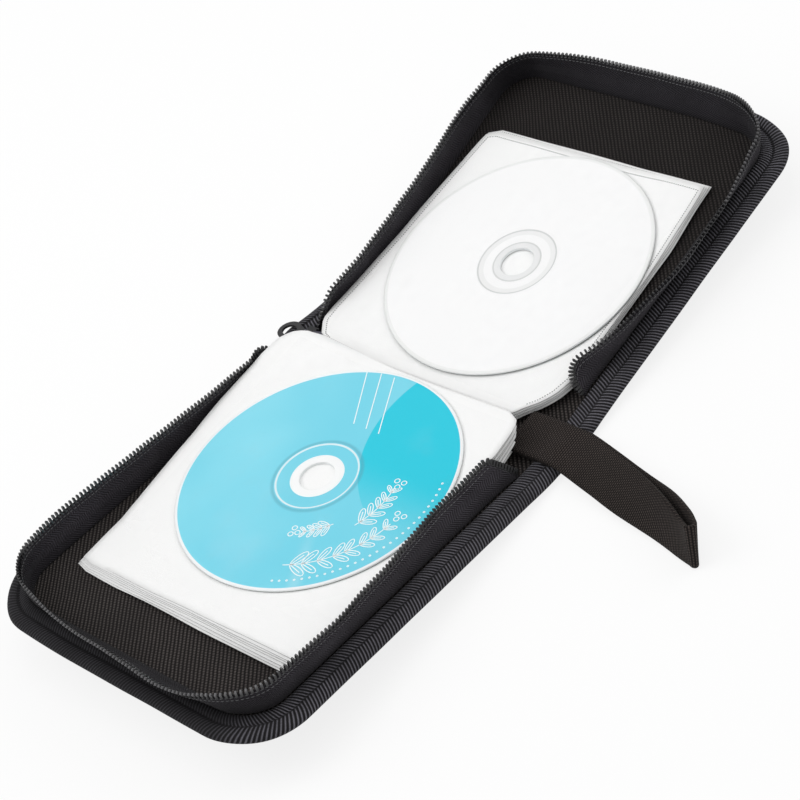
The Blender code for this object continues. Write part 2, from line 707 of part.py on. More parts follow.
def strap_handle():
    """One band of webbing folded into a loop, flat on the spine and on edge at its tip."""
    fine = 3
    count = (len(STRAP_ROUTE) - 1) * fine
    at = np.linspace(0, len(STRAP_ROUTE) - 1, count + 1)
    knots = np.arange(len(STRAP_ROUTE))
    x = np.interp(at, knots, [p[0][0] for p in STRAP_ROUTE])
    y = np.interp(at, knots, [p[0][1] - HALF_WIDTH for p in STRAP_ROUTE])
    angle = np.radians(np.interp(at, knots, [p[1] for p in STRAP_ROUTE]))
    space = STRAP_T + GAP + np.interp(at, knots, STRAP_OPEN)
    on_spine = FOLD_Z + GAP + STRAP_T + GAP / 2
    on_binding = BIND_TOP + GAP + STRAP_T + GAP / 2
    rise = np.interp(y, (BRIM - HALF_WIDTH, STRAP_START - HALF_WIDTH), (1.0, 0.0))
    z = on_spine + (on_binding - on_spine) * np.clip(rise, 0.0, 1.0)
    free = np.clip((-HALF_WIDTH - STRAP_FREE[0] - y) / STRAP_FREE[1], 0.0, 1.0)
    stand = STRAP_W / 2 * np.sin(angle) + space / 2 * np.cos(angle) + STRAP_T / 2 + GAP
    z = z * (1 - free) + stand * free
    loop = []
    for k in range(count + 1):
        loop.append((k, 1.0, 0.0))
    for a in np.linspace(math.pi / 2, -math.pi / 2, 7)[1:-1]:
        loop.append((count, math.sin(a), math.cos(a)))
    for k in range(count, -1, -1):
        loop.append((k, -1.0, 0.0))

    def place(column, row):
        k, layer, beyond = loop[column]
        prev, nxt = max(k - 1, 0), min(k + 1, count)
        run = Vector((x[nxt] - x[prev], y[nxt] - y[prev], z[nxt] - z[prev])).normalized()
        wide = Vector((math.cos(angle[k]), 0.0, math.sin(angle[k])))
        wide = (wide - run * wide.dot(run)).normalized()
        face = run.cross(wide)
        if face.z < 0:
            face = -face
        middle = Vector((x[k], y[k], z[k])) + run * beyond * space[k] / 2
        return middle + face * layer * space[k] / 2 + wide * (row - 1) * STRAP_W / 2

    return sheet("strap_handle", "webbing", len(loop) - 1, 2, place, STRAP_T)


# Slider, tail of the zip and pull

def slider_outline(grow=0.0):
    x, y = SLIDER_AT
    wide = SLIDER_W / 2 + grow
    nose = SLIDER_NOSE / 2 + grow
    back = y - SLIDER_L / 2
    return [(x - wide + 1.2, back), (x + wide - 1.2, back), (x + wide, back + 1.6),
            (x + wide, back + SLIDER_L * 0.45), (x + nose, back + SLIDER_L - 0.8),
            (x + nose - 0.8, back + SLIDER_L), (x - nose + 0.8, back + SLIDER_L),
            (x - nose, back + SLIDER_L - 0.8), (x - wide, back + SLIDER_L * 0.45),
            (x - wide, back + 1.6)]


SLIDER_Z = FOLD_Z + GAP
TAIL_Z = SLIDER_Z + PLATE_T + GAP
TOP_PLATE_Z = TAIL_Z + CHAIN_T + GAP
BRIDGE_Z = TOP_PLATE_Z + PLATE_T
PIN_Z = BRIDGE_Z + PIN_LIFT + PIN_T / 2
PIN_Y = SLIDER_AT[1] + PIN_AHEAD


def zip_slider():
    """Two plates joined by a wedge at the open end, with a bridge on top for the pull."""
    x, y = SLIDER_AT
    body = as_mesh(plate("zip_slider", "slider", slider_outline(), SLIDER_Z, SLIDER_Z + PLATE_T))
    body.data.materials.clear()
    body.data.materials.append(MATERIALS["slider"])
    back = y - SLIDER_L / 2
    top = as_mesh(plate("slider_top", None, slider_outline(), TOP_PLATE_Z, BRIDGE_Z, group=guides))
    wedge = [(x - 1.4, back + 0.4), (x + 1.4, back + 0.4), (x + 0.5, back + 2.6),
             (x - 0.5, back + 2.6)]
    post = as_mesh(plate("slider_wedge", None, wedge, SLIDER_Z + PLATE_T / 2,
                         BRIDGE_Z - PLATE_T / 2, group=guides))
    under = BRIDGE_Z + PIN_LIFT + PIN_T + PIN_CLEAR
    arch = box("slider_bridge", None, (x - BRIDGE_W / 2, y - BRIDGE_L / 2, BRIDGE_Z - PLATE_T / 2),
               (x + BRIDGE_W / 2, y + BRIDGE_L / 2, under + BRIDGE_BAR), group=guides)
    eye = box("slider_eye", None, (x - BRIDGE_W, y - BRIDGE_EYE_L / 2, BRIDGE_Z),
              (x + BRIDGE_W, y + BRIDGE_EYE_L / 2, under), group=guides)
    boolean(arch, eye, "DIFFERENCE")
    boolean(body, post, "UNION")
    boolean(body, top, "UNION")
    boolean(body, arch, "UNION")
    return body


def zip_tail():
    """End of the joined tape, from the slider to the binding of the spine."""
    x, y = SLIDER_AT
    back = y - SLIDER_L / 2 + 2.6 + GAP
    outline = [(x - CHAIN_W / 2, back + 1.5), (x - CHAIN_W / 2 + 1.5, back),
               (x + CHAIN_W / 2 - 1.5, back), (x + CHAIN_W / 2, back + 1.5),
               (x + CHAIN_W / 2, CHAIN_END), (x - CHAIN_W / 2, CHAIN_END)]
    plate("zip_tail", "zip_tape", outline, TAIL_Z, TAIL_Z + CHAIN_T)


def oval(half_w, half_l, centre, steps=20):
    return [(half_w * math.cos(2 * math.pi * k / steps),
             centre + half_l * math.sin(2 * math.pi * k / steps)) for k in range(steps)]


def zip_pull():
    """Flat pull with an oval ring; its cross bar lies on the hinge axis under the bridge."""
    hinge = empty("zip_pull_axis", (SLIDER_AT[0], PIN_Y, PIN_Z), 0.0)
    hinge.rotation_euler.x = -PULL_DROOP
    arm = BRIDGE_W / 2 + 0.5
    wide = arm + 1.0
    half = PULL_T / 2
    ring_y = PULL_NECK + PULL_RING[1] - 1.0
    pull = as_mesh(plate("zip_pull", "pull", oval(*PULL_RING, ring_y), -half, half, hinge))
    pull.data.materials.clear()
    pull.data.materials.append(MATERIALS["pull"])
    neck = [(-wide, -PIN_T / 2), (wide, -PIN_T / 2), (wide, PULL_NECK - 2.0),
            (PULL_RING[0] * 0.8, PULL_NECK + 2.5), (-PULL_RING[0] * 0.8, PULL_NECK + 2.5),
            (-wide, PULL_NECK - 2.0)]
    arms = as_mesh(plate("pull_arms", None, neck, -half, half, hinge, guides))
    hole = as_mesh(plate("pull_hole", None, oval(*PULL_HOLE, ring_y), -2.0, 2.0, hinge, guides))
    eye = box("pull_eye", None, (-arm, PIN_T / 2, -2.0), (arm, PULL_NECK - 1.6, 2.0),
              hinge, guides)
    boolean(pull, arms, "UNION")
    boolean(pull, hole, "DIFFERENCE")
    boolean(pull, eye, "DIFFERENCE")
    return pull


def cover(side, name):
    hinge = empty(name + "_cover_axis", (side * FOLD_X, 0.0, FOLD_Z), -side * TILT)
    cover_plate(name + "_outer_fabric", "outer_fabric", side, EDGE_INSET,
                FABRIC_Z, FABRIC_Z + FABRIC_T, hinge)
    cover_plate(name + "_board", "board", side, BOARD_INSET, BOARD_Z, BOARD_Z + BOARD_T, hinge)
    cover_plate(name + "_lining", "lining", side, EDGE_INSET, LINING_Z, LINING_Z + LINING_T, hinge)
    cover_binding(name + "_binding", side, hinge)
    wall = Wall(side)
    zip_tape(name + "_zip_tape", wall, hinge)
    zip_teeth(name + "_zip_teeth", wall, hinge)
    pages = page_empty(side, name + "_pages_axis")
    leaves(name + "_sleeves", side, pages)
    top_sleeve(name + "_top_sleeve", side, pages)
    disc(name + "_disc", "blue_disc" if side < 0 else "white_disc", side, pages)
    window(name + "_window", side, pages)


spine()
strap_handle()
zip_tail()
zip_slider()
zip_pull()
cover(-1, "front")
cover(1, "back")
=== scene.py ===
import math
import random

import bmesh
import bpy
import numpy as np
from mathutils import Matrix, Vector, noise


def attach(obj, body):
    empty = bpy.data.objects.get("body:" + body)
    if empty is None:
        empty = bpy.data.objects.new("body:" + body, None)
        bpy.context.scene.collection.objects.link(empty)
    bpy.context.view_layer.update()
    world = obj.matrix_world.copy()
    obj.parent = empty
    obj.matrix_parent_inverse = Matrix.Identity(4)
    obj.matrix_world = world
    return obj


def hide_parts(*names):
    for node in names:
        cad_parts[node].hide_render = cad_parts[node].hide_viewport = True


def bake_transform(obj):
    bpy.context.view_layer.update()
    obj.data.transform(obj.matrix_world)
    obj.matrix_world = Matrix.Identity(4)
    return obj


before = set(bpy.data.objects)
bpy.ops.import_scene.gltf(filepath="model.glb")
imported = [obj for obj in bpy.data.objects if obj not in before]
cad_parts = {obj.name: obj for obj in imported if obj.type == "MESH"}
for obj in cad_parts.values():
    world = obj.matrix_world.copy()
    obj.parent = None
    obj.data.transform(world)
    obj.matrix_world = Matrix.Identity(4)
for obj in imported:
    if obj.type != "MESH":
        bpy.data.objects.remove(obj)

MM = 0.001
scene = bpy.context.scene
link = scene.collection.objects.link
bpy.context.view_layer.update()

# Sizes that the CAD source has too, in mm
HALF_LENGTH = 180.0
HALF_WIDTH = 83.1
CORNER_R = 28.0
TILT = math.radians(7.2)
BRIM = 12.0
FOLD_X = 15.2
FOLD_Z = 3.2
FOOT_Z = 3.75
WALL_W = 12.4
WALL_BOW = 0.7
WALL_START = (10.0, 7.0)
TOP = {-1: (10.6, 0.077, 62.5), 1: (7.6, 0.036, 70.9)}   # top sheet: height, slope, at u
DISC_Y = {-1: -5.0, 1: -4.5}
DISC_R = 60.0
DISC_T = 1.2
DISC_GAP = 0.3           # top sheet to the disc's underside
END_LIFT = 0.05          # the leaves' free ends fan upwards by this slope
SIDE = {"front": -1, "back": 1}

# The visible cloth alone, in mm. LEAN is the wall's lean outwards in degrees, at even steps
# from its strap-side end round to the slider.
LEAN = {-1: (-24, -20, -17, -9, 0, 4, 9, 7, 6, 12, 35, 42, 37, 34, 31, 24, 13, 4, 9, 15, 12,
             6, 2, -2, -6, -8, -9),
        1: (-10, 5, 20, 30, 38, 38, 37, 27, 16, 20, 44, 48, 50, 49, 47, 32, 13, -3, -5, 2, 1,
            -3, -4, -5, -7, -8, -8)}
PULL_IN = ([8, 26, 45, 70, 85, 105, 130, 155, 172],      # how far in the back half's slider
           [0, 5.5, 7.0, 7.2, 6.6, 5.0, 3.0, 1.2, 0])    # side is drawn, by distance u
FULLER = ([0, 20, 120, 175], [1.8, 0.8, 1.0, 1.6])    # how far out its strap side, by u
ROUNDER = {-1: (176, 79, 26, 2.3), 1: (178, -66, 22, 3.0)}    # corner's (u, y), reach, depth
SPREAD = 7.0             # half the width over which the cloth bends at each fold
CLOTH = {
    # Cloth of a half: the part it is, how far its edge lies inside the cover's, its height
    # and how far it waves
    "lining": ("lining", 11.0, FOLD_Z, 0.25),
    "outer": ("outer_fabric", 2.5, 0.4, 0.1),
}
CLOTH_ROWS = 40
TAPE_ROWS = 10
TAPE_T = 0.7
PRONG = [(-0.5, -0.6), (0.5, -0.6), (0.48, 1.6), (0.32, 1.95), (0.0, 2.1), (-0.32, 1.95),
         (-0.48, 1.6)]           # outline of a zip tooth: along the tape's edge, up from it
PRONG_HALF = 0.72                # half its depth through the tape, less at its tip
PRONG_TIP = 0.7
TOOTH_PITCH = (1.35, 1.9)        # at the strap-side end, and along the rest
STITCH_RUN = 1.3
STITCH_PITCH = 1.9
STITCH_DROPS = (0.75, 2.1)       # rows of stitches, down from the tape's edge
LEAF_COLUMNS, LEAF_ROWS = 44, 40
LEAF_T = 0.28
SLEEVE_UV = 0.13                 # metres that a sleeve's texture spans
WELD_FROM_TOP = 3                # leaves whose weld marks show
MARK_IN = 0.5                    # weld mark's middle, in from the leaf's edge
MARK_UP = 0.06
DISC_STEPS = 160


# Materials

class Nodes:
    """Small helper for writing shader maths."""

    def __init__(self, name):
        self.mat = bpy.data.materials.new(name)
        self.mat.use_nodes = True
        self.tree = self.mat.node_tree
        self.shader = self.tree.nodes["Principled BSDF"]
        self.out = self.tree.nodes["Material Output"]

    def node(self, kind, **props):
        n = self.tree.nodes.new(kind)
        for key, value in props.items():
            setattr(n, key, value)
        return n

    def put(self, value, socket):
        if isinstance(value, (int, float)):
            socket.default_value = value
        elif isinstance(value, tuple):
            socket.default_value = (*value, 1.0)[:len(socket.default_value)]
        else:
            self.tree.links.new(value, socket)

    def math(self, operation, a, b=0.0, c=0.0):
        n = self.node("ShaderNodeMath", operation=operation)
        for value, socket in zip((a, b, c), n.inputs):
            self.put(value, socket)
        return n.outputs[0]

    def times(self, a, b):
        return self.math("MULTIPLY", a, b)

    def mix(self, share, a, b):
        n = self.node("ShaderNodeMix", data_type="RGBA")
        self.put(share, n.inputs[0])
        self.put(a, n.inputs[6])
        self.put(b, n.inputs[7])
        return n.outputs[2]

    def smooth(self, value, low, high):
        n = self.node("ShaderNodeMapRange", interpolation_type="SMOOTHSTEP")
        self.put(value, n.inputs[0])
        n.inputs[1].default_value = low
        n.inputs[2].default_value = high
        return n.outputs[0]

    def uv(self):
        split = self.node("ShaderNodeSeparateXYZ")
        self.tree.links.new(self.node("ShaderNodeTexCoord").outputs["UV"], split.inputs[0])
        return split.outputs[0], split.outputs[1]

    def noise(self, scale, detail=2.0, rough=0.5, vector=None):
        n = self.node("ShaderNodeTexNoise")
        if vector is None:
            vector = self.node("ShaderNodeTexCoord").outputs["Object"]
        self.tree.links.new(vector, n.inputs["Vector"])
        n.inputs["Scale"].default_value = scale
        n.inputs["Detail"].default_value = detail
        n.inputs["Roughness"].default_value = rough
        return n.outputs[0]

    def bump(self, height, distance, strength=1.0):
        n = self.node("ShaderNodeBump")
        n.inputs["Strength"].default_value = strength
        n.inputs["Distance"].default_value = distance
        self.put(height, n.inputs["Height"])
        self.tree.links.new(n.outputs[0], self.shader.inputs["Normal"])

    def set(self, **values):
        names = {"colour": "Base Color", "rough": "Roughness", "metal": "Metallic",
                 "alpha": "Alpha", "sheen": "Sheen Weight", "coat": "Coat Weight",
                 "spec": "Specular IOR Level"}
        for key, value in values.items():
            self.put(value, self.shader.inputs[names[key]])
        return self.mat

    def attribute(self, name):
        return self.node("ShaderNodeAttribute", attribute_name=name).outputs["Fac"]

    def far(self, a, b):
        """Distance of the point (a, b) from the middle."""
        return self.math("SQRT", self.math("ADD", self.times(a, a), self.times(b, b)))

    def wave(self, phase):
        """0 to 1 and back once for each whole step of phase."""
        turned = self.math("SINE", self.times(phase, 2 * math.pi))
        return self.math("MULTIPLY_ADD", turned, 0.5, 0.5)


def ribbed(name, pitch, shear, seam, dark, light, depth):
    """Ribs across a tape whose slant turns over at the line of its seam."""
    n = Nodes(name)
    u, v = n.uv()
    away = n.math("ABSOLUTE", n.math("SUBTRACT", v, seam))
    jitter = n.times(n.noise(90.0, 2.0), 0.0006)
    slant = n.math("MULTIPLY_ADD", away, shear, u)
    rib = n.wave(n.math("DIVIDE", n.math("ADD", slant, jitter), pitch))
    stitch = n.smooth(away, 0.0002, 0.0008)
    fuzz = n.noise(2600.0, 3.0)
    shade = n.times(n.math("POWER", rib, 2.6), n.math("MULTIPLY_ADD", fuzz, 1.4, 0.2))
    shade = n.times(shade, n.math("MULTIPLY_ADD", stitch, 0.75, 0.25))
    patch = n.noise(60.0, 3.0)
    # Painted shade: the stored attribute darkens the ribs and flattens their relief where it is
    # below 1
    painted_shading = n.attribute("painted_shading")
    shade = n.times(shade, n.math("MULTIPLY_ADD", patch, 1.5, 0.15))
    shade = n.times(shade, painted_shading)
    relief = n.times(n.times(rib, stitch), painted_shading)
    n.bump(n.math("ADD", relief, n.times(fuzz, 0.3)), depth)
    return n.set(colour=n.mix(shade, dark, light), rough=0.8, spec=0.22, sheen=0.03)


def herringbone(name, pitch, band, dark, light):
    """Tape woven in bands of slanting ribs that change direction, with painted shade near its
    foot.
    """
    n = Nodes(name)
    u, v = n.uv()
    fold = n.math("PINGPONG", v, band)
    jitter = n.times(n.noise(120.0, 2.0), 0.0005)
    slant = n.math("MULTIPLY_ADD", fold, 1.5, u)
    rib = n.wave(n.math("DIVIDE", n.math("ADD", slant, jitter), pitch))
    fuzz = n.noise(3000.0, 2.0)
    patch = n.noise(70.0, 3.0)
    shade = n.times(n.math("POWER", rib, 1.6), n.math("MULTIPLY_ADD", fuzz, 1.4, 0.2))
    shade = n.times(shade, n.math("MULTIPLY_ADD", patch, 1.3, 0.25))
    # Painted shade near the tape's foot, where the wall meets the lining
    shade = n.times(shade, n.math("MULTIPLY_ADD", n.smooth(v, 0.0, 0.006), 0.6, 0.4))
    # Painted light and shade from the stored attribute
    painted_shading = n.attribute("painted_shading")
    shade = n.times(shade, painted_shading)
    n.bump(n.math("MULTIPLY_ADD", fuzz, 0.4, rib), 0.00016)
    return n.set(colour=n.mix(shade, dark, light), rough=0.82, spec=0.2, sheen=0.04)


def woven(name, warp, weft, angle, dark, light, depth, fuzz_by=1.1, back=1.0):
    """Coarse cloth: ridges pitch warp apart, each a row of beads pitch weft apart; back is how
    much of its lightness it keeps on the back half, as painted shade."""
    n = Nodes(name)
    u, v = n.uv()
    c, s = math.cos(angle), math.sin(angle)
    a = n.math("MULTIPLY_ADD", u, c, n.times(v, s))
    b = n.math("MULTIPLY_ADD", u, -s, n.times(v, c))
    a = n.math("MULTIPLY_ADD", n.noise(110.0, 2.0), warp * 0.35, a)
    row = n.math("DIVIDE", a, warp)
    shift = n.times(n.math("FLOOR", n.math("ADD", row, 0.25)), 0.5)
    bead = n.wave(n.math("ADD", n.math("DIVIDE", b, weft), shift))
    ridge = n.wave(row)
    height = n.times(ridge, n.math("MULTIPLY_ADD", bead, 0.65, 0.35))
    fuzz = n.noise(2800.0, 3.0)
    shade = n.times(n.math("POWER", height, 1.3),
                   n.math("MULTIPLY_ADD", fuzz, fuzz_by, 1 - fuzz_by / 2))
    patch = n.noise(40.0, 2.0)
    shade = n.times(shade, n.math("MULTIPLY_ADD", patch, 0.8, 0.6))
    # Painted shade: the back half is painted darker
    if back != 1.0:
        share = n.math("MULTIPLY_ADD", n.smooth(u, 0.0, 0.13), back - 1.0, 1.0)
        shade = n.times(shade, share)
    n.bump(n.math("MULTIPLY_ADD", fuzz, 0.3, height), depth)
    return n.set(colour=n.mix(shade, dark, light), rough=0.85, spec=0.15, sheen=0.03)


def nonwoven():
    """White felted sheet of the sleeves."""
    n = Nodes("nonwoven")
    fine = n.noise(1500.0, 4.0, 0.7)
    broad = n.noise(60.0, 2.0)
    tone = n.math("MULTIPLY_ADD", fine, 0.25, n.times(broad, 0.12))
    n.bump(n.math("MULTIPLY_ADD", broad, 1.5, fine), 0.0002, 0.6)
    return n.set(colour=n.mix(tone, (0.97, 0.97, 0.965), (0.82, 0.825, 0.82)), rough=0.6,
                 spec=0.3)


def plain(name, colour, rough, **more):
    return Nodes(name).set(colour=colour, rough=rough, **more)


def film_material():
    """Clear film: mostly seen through, with a faint milky haze and a soft shine."""
    n = Nodes("clear_film")
    haze = n.noise(25.0, 3.0, 0.6)
    amount = n.math("MULTIPLY_ADD", n.smooth(haze, 0.5, 0.8), 0.07, 0.015)
    n.bump(n.noise(18.0, 2.0), 0.0012, 0.4)
    return n.set(colour=(0.97, 0.98, 1.0), rough=0.2, alpha=amount, spec=0.4)


def blue_print():
    """Printed face of the blue disc, from UV in metres about its middle."""
    n = Nodes("blue_print")
    u, v = n.uv()
    r = n.far(u, v)
    light = (0.165, 0.67, 0.83)
    paler = (0.25, 0.74, 0.88)
    deep = (0.0, 0.60, 0.76)
    # A deeper round field rises from the rim on one side
    far = n.far(n.math("SUBTRACT", u, 0.046), n.math("ADD", v, 0.062))
    inside = n.math("SUBTRACT", 1.0, n.smooth(far, 0.0598, 0.0602))
    fade = n.smooth(u, -0.022, 0.018)
    field = n.mix(n.smooth(n.noise(14.0, 2.0), 0.3, 0.7), light, paler)
    face = n.mix(n.times(inside, fade), field, deep)
    # Painted highlight: soft pale streaks of the film's reflection across the face
    along = n.math("MULTIPLY_ADD", u, 0.5, n.times(v, -0.87))
    film_highlight = n.smooth(n.math("ABSOLUTE", n.math("SUBTRACT", along, 0.004)), 0.0045, 0.0)
    film_highlight = n.times(film_highlight, n.smooth(v, -0.015, -0.03))
    face = n.mix(n.times(film_highlight, 0.18), face, (0.8, 0.93, 0.96))
    ring = n.math("SUBTRACT", n.smooth(r, 0.0168, 0.0171), n.smooth(r, 0.0176, 0.0179))
    face = n.mix(n.times(ring, 0.85), face, (0.85, 0.93, 0.95))
    dusk = n.math("SUBTRACT", n.smooth(r, 0.0178, 0.0186), n.smooth(r, 0.0188, 0.0203))
    face = n.mix(n.times(dusk, 0.5), face, (0.08, 0.36, 0.46))
    face = n.mix(n.smooth(r, 0.0113, 0.0115), (0.95, 0.96, 0.96), face)
    face = n.mix(n.smooth(r, 0.0586, 0.0589), face, (0.92, 0.94, 0.95))
    return n.set(colour=face, rough=0.35, spec=0.4, coat=0.1)


def white_print():
    """Printed face of the white disc: grey rings round its hub and at its rim."""
    n = Nodes("white_print")
    u, v = n.uv()
    r = n.far(u, v)
    face = (0.96, 0.96, 0.96)

    def band(low, high, share, colour, under, soft=0.0003):
        inside = n.math("SUBTRACT", n.smooth(r, low - soft, low), n.smooth(r, high, high + soft))
        return n.mix(n.times(inside, share), under, colour)

    face = band(0.0172, 0.0176, 0.8, (0.55, 0.56, 0.56), face)
    face = band(0.0150, 0.0171, 0.35, (0.72, 0.73, 0.72), face)
    face = band(0.0, 0.0108, 0.6, (0.74, 0.75, 0.75), face)
    face = band(0.0104, 0.0108, 0.5, (0.5, 0.51, 0.5), face)
    face = band(0.0585, 0.062, 0.5, (0.78, 0.8, 0.78), face)
    return n.set(colour=face, rough=0.35, spec=0.4, coat=0.1)


def coil_material():
    """Nylon teeth: painted shade at their roots, and painted highlights that make their tips look
    lighter and shinier.
    """
    # Painted highlight at the tips, from the stored tip attribute
    n = Nodes("coil")
    tip = n.attribute("tip")
    fleck = n.noise(900.0, 2.0)
    tone = n.times(n.math("POWER", tip, 2.0), n.math("MULTIPLY_ADD", fleck, 1.0, 0.4))
    return n.set(colour=n.mix(tone, (0.007, 0.007, 0.008), (0.13, 0.128, 0.132)), rough=0.28,
                 spec=0.6)


MATERIALS = {
    "binding": ribbed("binding_ribs", 0.00145, -0.45, 0.0068, (0.004, 0.0035, 0.0045),
                      (0.16, 0.155, 0.178), 0.0003),
    "zip_tape": herringbone("tape_herringbone", 0.00125, 0.0031, (0.006, 0.0052, 0.007),
                            (0.078, 0.071, 0.084)),
    # The lining keeps 0.42 of its lightness on the back half: painted shade
    "lining": woven("lining_weave", 0.00155, 0.0014, math.radians(-48.8),
                    (0.0045, 0.0035, 0.0033), (0.085, 0.074, 0.070), 0.0003, 1.5, 0.42),
    "outer": woven("outer_twill", 0.0011, 0.0010, math.radians(45), (0.005, 0.0045, 0.0045),
                   (0.05, 0.046, 0.046), 0.00018),
    "webbing": woven("webbing_ribs", 0.00095, 0.0013, 0.0, (0.0035, 0.0026, 0.0024),
                     (0.078, 0.062, 0.055), 0.00025, 1.7),
    "teeth": coil_material(),
    "thread": plain("thread", (0.11, 0.11, 0.115), 0.6),
    "nonwoven": nonwoven(),
    "weld": plain("weld", (0.26, 0.265, 0.26), 0.7),
    "leaf_edge_shade": plain("leaf_edge_shade", (0.50, 0.505, 0.50), 0.7),
    "film": film_material(),
    "blue_print": blue_print(),
    "white_print": white_print(),
    "disc_edge": plain("disc_edge", (0.86, 0.89, 0.89), 0.2),
    "disc_under_shade": plain("disc_under_shade", (0.16, 0.19, 0.18), 0.2),
    "ink": plain("ink", (0.90, 0.97, 0.98), 0.4),
    "slider": plain("slider_paint", (0.11, 0.105, 0.135), 0.38, metal=0.5),
    "pull": plain("pull_black", (0.016, 0.016, 0.018), 0.35),
    "board": plain("board", (0.35, 0.28, 0.2), 0.8),
}
# Materials of the CAD nodes that stay, by the end of their names
LOOKS = {"board": "board", "teeth": "teeth", "slider": "slider", "pull": "pull",
         "root": "nonwoven", "tail": "pull"}
for node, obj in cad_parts.items():
    for ending, key in LOOKS.items():
        if node.endswith(ending):
            obj.data.materials.clear()
            obj.data.materials.append(MATERIALS[key])


# Shapes

def add_object(name, mesh, material):
    obj = bpy.data.objects.new(name, mesh)
    mesh.materials.append(MATERIALS[material])
    link(obj)
    return obj


def from_bmesh(bm, name, material):
    mesh = bpy.data.meshes.new(name)
    bm.to_mesh(mesh)
    bm.free()
    return add_object(name, mesh, material)


def grid(name, columns, rows, place, uv, material, thickness=0.0, offset=0.0):
    """Quad grid through place(column, row), smooth, with its UV in metres."""
    points = [Vector(place(i, j)) * MM for j in range(rows + 1) for i in range(columns + 1)]
    faces = []
    for j in range(rows):
        for i in range(columns):
            a = j * (columns + 1) + i
            faces.append((a, a + 1, a + columns + 2, a + columns + 1))
    mesh = bpy.data.meshes.new(name)
    mesh.from_pydata(points, [], faces)
    layer = mesh.uv_layers.new(name="UVMap")
    for loop in mesh.loops:
        j, i = divmod(loop.vertex_index, columns + 1)
        layer.data[loop.index].uv = uv(i, j)
    mesh.shade_smooth()
    obj = add_object(name, mesh, material)
    if thickness:
        mod = obj.modifiers.new("thickness", "SOLIDIFY")
        mod.thickness = thickness * MM
        mod.offset = offset
    return obj


def ease(t):
    """0 up to t = 0, 1 from t = 1 on, and a soft step between."""
    t = min(max(t, 0.0), 1.0)
    return t * t * (3 - 2 * t)


def lengths_along(points, least=0.0):
    """Distance of each point from the first, along the line through them."""
    out = [0.0]
    for a, b in zip(points, points[1:]):
        out.append(out[-1] + max(math.dist(a, b), least))
    return out


def reader(table, keys):
    """Function that reads the points of table, one for each of keys, between them too."""
    table = np.array([tuple(p) for p in table])

    def at(s):
        return Vector([float(np.interp(s, keys, table[:, k])) for k in range(3)])

    return at


def paint_shading(obj, share):
    """Stores the cloth's painted light and shade at each point, share(x, y) in mm, for its
    material: below 1 is painted shade.
    """
    painted_shading = obj.data.attributes.new("painted_shading", "FLOAT", "POINT")
    for vert in obj.data.vertices:
        painted_shading.data[vert.index].value = share(vert.co.x / MM, vert.co.y / MM)


def drawn(side, u, y):
    """The cover's true outline: a little fuller on the strap side, drawn in where it is held
    by the zip's closed end, and rounder at one outer corner of each half."""
    corner_u, corner_y, reach, depth = ROUNDER[side]
    rounder = depth * math.exp(-(math.hypot(u - corner_u, y - corner_y) / reach) ** 2)
    u -= rounder
    if side > 0:
        y -= float(np.interp(u, *PULL_IN)) * ease((y - 35) / 25)
        fuller = float(np.interp(u, *FULLER))
    else:
        y -= rounder
        fuller = FULLER[1][0]
    return u, y - fuller * ease((-y - 62) / 18)


def fold(side, u, y, h):
    """World place of the point u from the middle of the spine, y along it, h up."""
    u, y = drawn(side, u, y)
    start = FOLD_X - SPREAD
    t = min(max((u - start) / (2 * SPREAD), 0.0), 1.0)
    if t < 1.0:
        angle = TILT * t
        run = min(u, start) + 2 * SPREAD * (math.sin(angle) / TILT if u > start else 0.0)
        rise = 2 * SPREAD * (1 - math.cos(angle)) / TILT
    else:
        angle = TILT
        beyond = u - start - 2 * SPREAD
        run = start + 2 * SPREAD * math.sin(TILT) / TILT + beyond * math.cos(TILT)
        rise = 2 * SPREAD * (1 - math.cos(TILT)) / TILT + beyond * math.sin(TILT)
    up = h - FOLD_Z
    return Vector((side * (run - up * math.sin(angle)), y, FOLD_Z + rise + up * math.cos(angle)))


def cover_point(side, u, y, h):
    """World place on a half, measured like fold() but turned sharply at the hinge."""
    run = u - FOLD_X
    up = h - FOLD_Z
    return Vector((side * (FOLD_X + run * math.cos(TILT) - up * math.sin(TILT)), y,
                   FOLD_Z + run * math.sin(TILT) + up * math.cos(TILT)))


def rim(inset, start, side_steps=40, corner_steps=24, end_steps=30, finish=None):
    """Line round a half's three free sides, inset from the cover's edge, from distance start
    on the strap side to finish on the slider side: each point's (u, y) and outward normal."""
    finish = start if finish is None else finish
    radius = CORNER_R - inset
    far = HALF_LENGTH - CORNER_R
    half = HALF_WIDTH - CORNER_R
    points = []

    def corner(y, first):
        for k in range(corner_steps + 1):
            angle = first + math.pi / 2 * k / corner_steps
            out = (math.cos(angle), math.sin(angle))
            points.append((far + radius * out[0], y + radius * out[1], *out))

    for k in range(side_steps):
        points.append((start + (far - start) * k / side_steps, -half - radius, 0.0, -1.0))
    corner(-half, -math.pi / 2)
    for k in range(1, end_steps):
        points.append((far + radius, -half + 2 * half * k / end_steps, 1.0, 0.0))
    corner(half, 0.0)
    for k in range(1, side_steps + 1):
        points.append((far + (finish - far) * k / side_steps, half + radius, 0.0, 1.0))
    return points


def wobble(x, y, z, size):
    """Smooth unevenness, about -1 to 1, that changes over the given size."""
    return noise.noise(Vector((x, y, z)) / size)


def bend_at_fold(obj):
    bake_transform(obj)


# Edge binding, as (in from the cover's edge, height): inner edge tucked under the wall's
# foot, a stitched groove, and a soft roll over the edge of the cover down to its underside
BIND_SECTION = [(11.7, 3.3), (11.4, 3.85), (10.7, 4.25), (9.6, 4.4), (8.4, 4.4), (7.3, 4.2),
                (6.75, 3.95), (6.4, 3.75), (6.05, 3.95), (5.3, 4.25), (4.2, 4.3), (3.0, 4.1),
                (1.9, 3.75), (1.0, 3.2), (0.4, 2.55), (0.1, 1.9), (0.3, 1.2), (0.9, 0.6),
                (1.9, 0.2), (3.4, 0.05), (6.0, 0.05), (9.0, 0.05)]


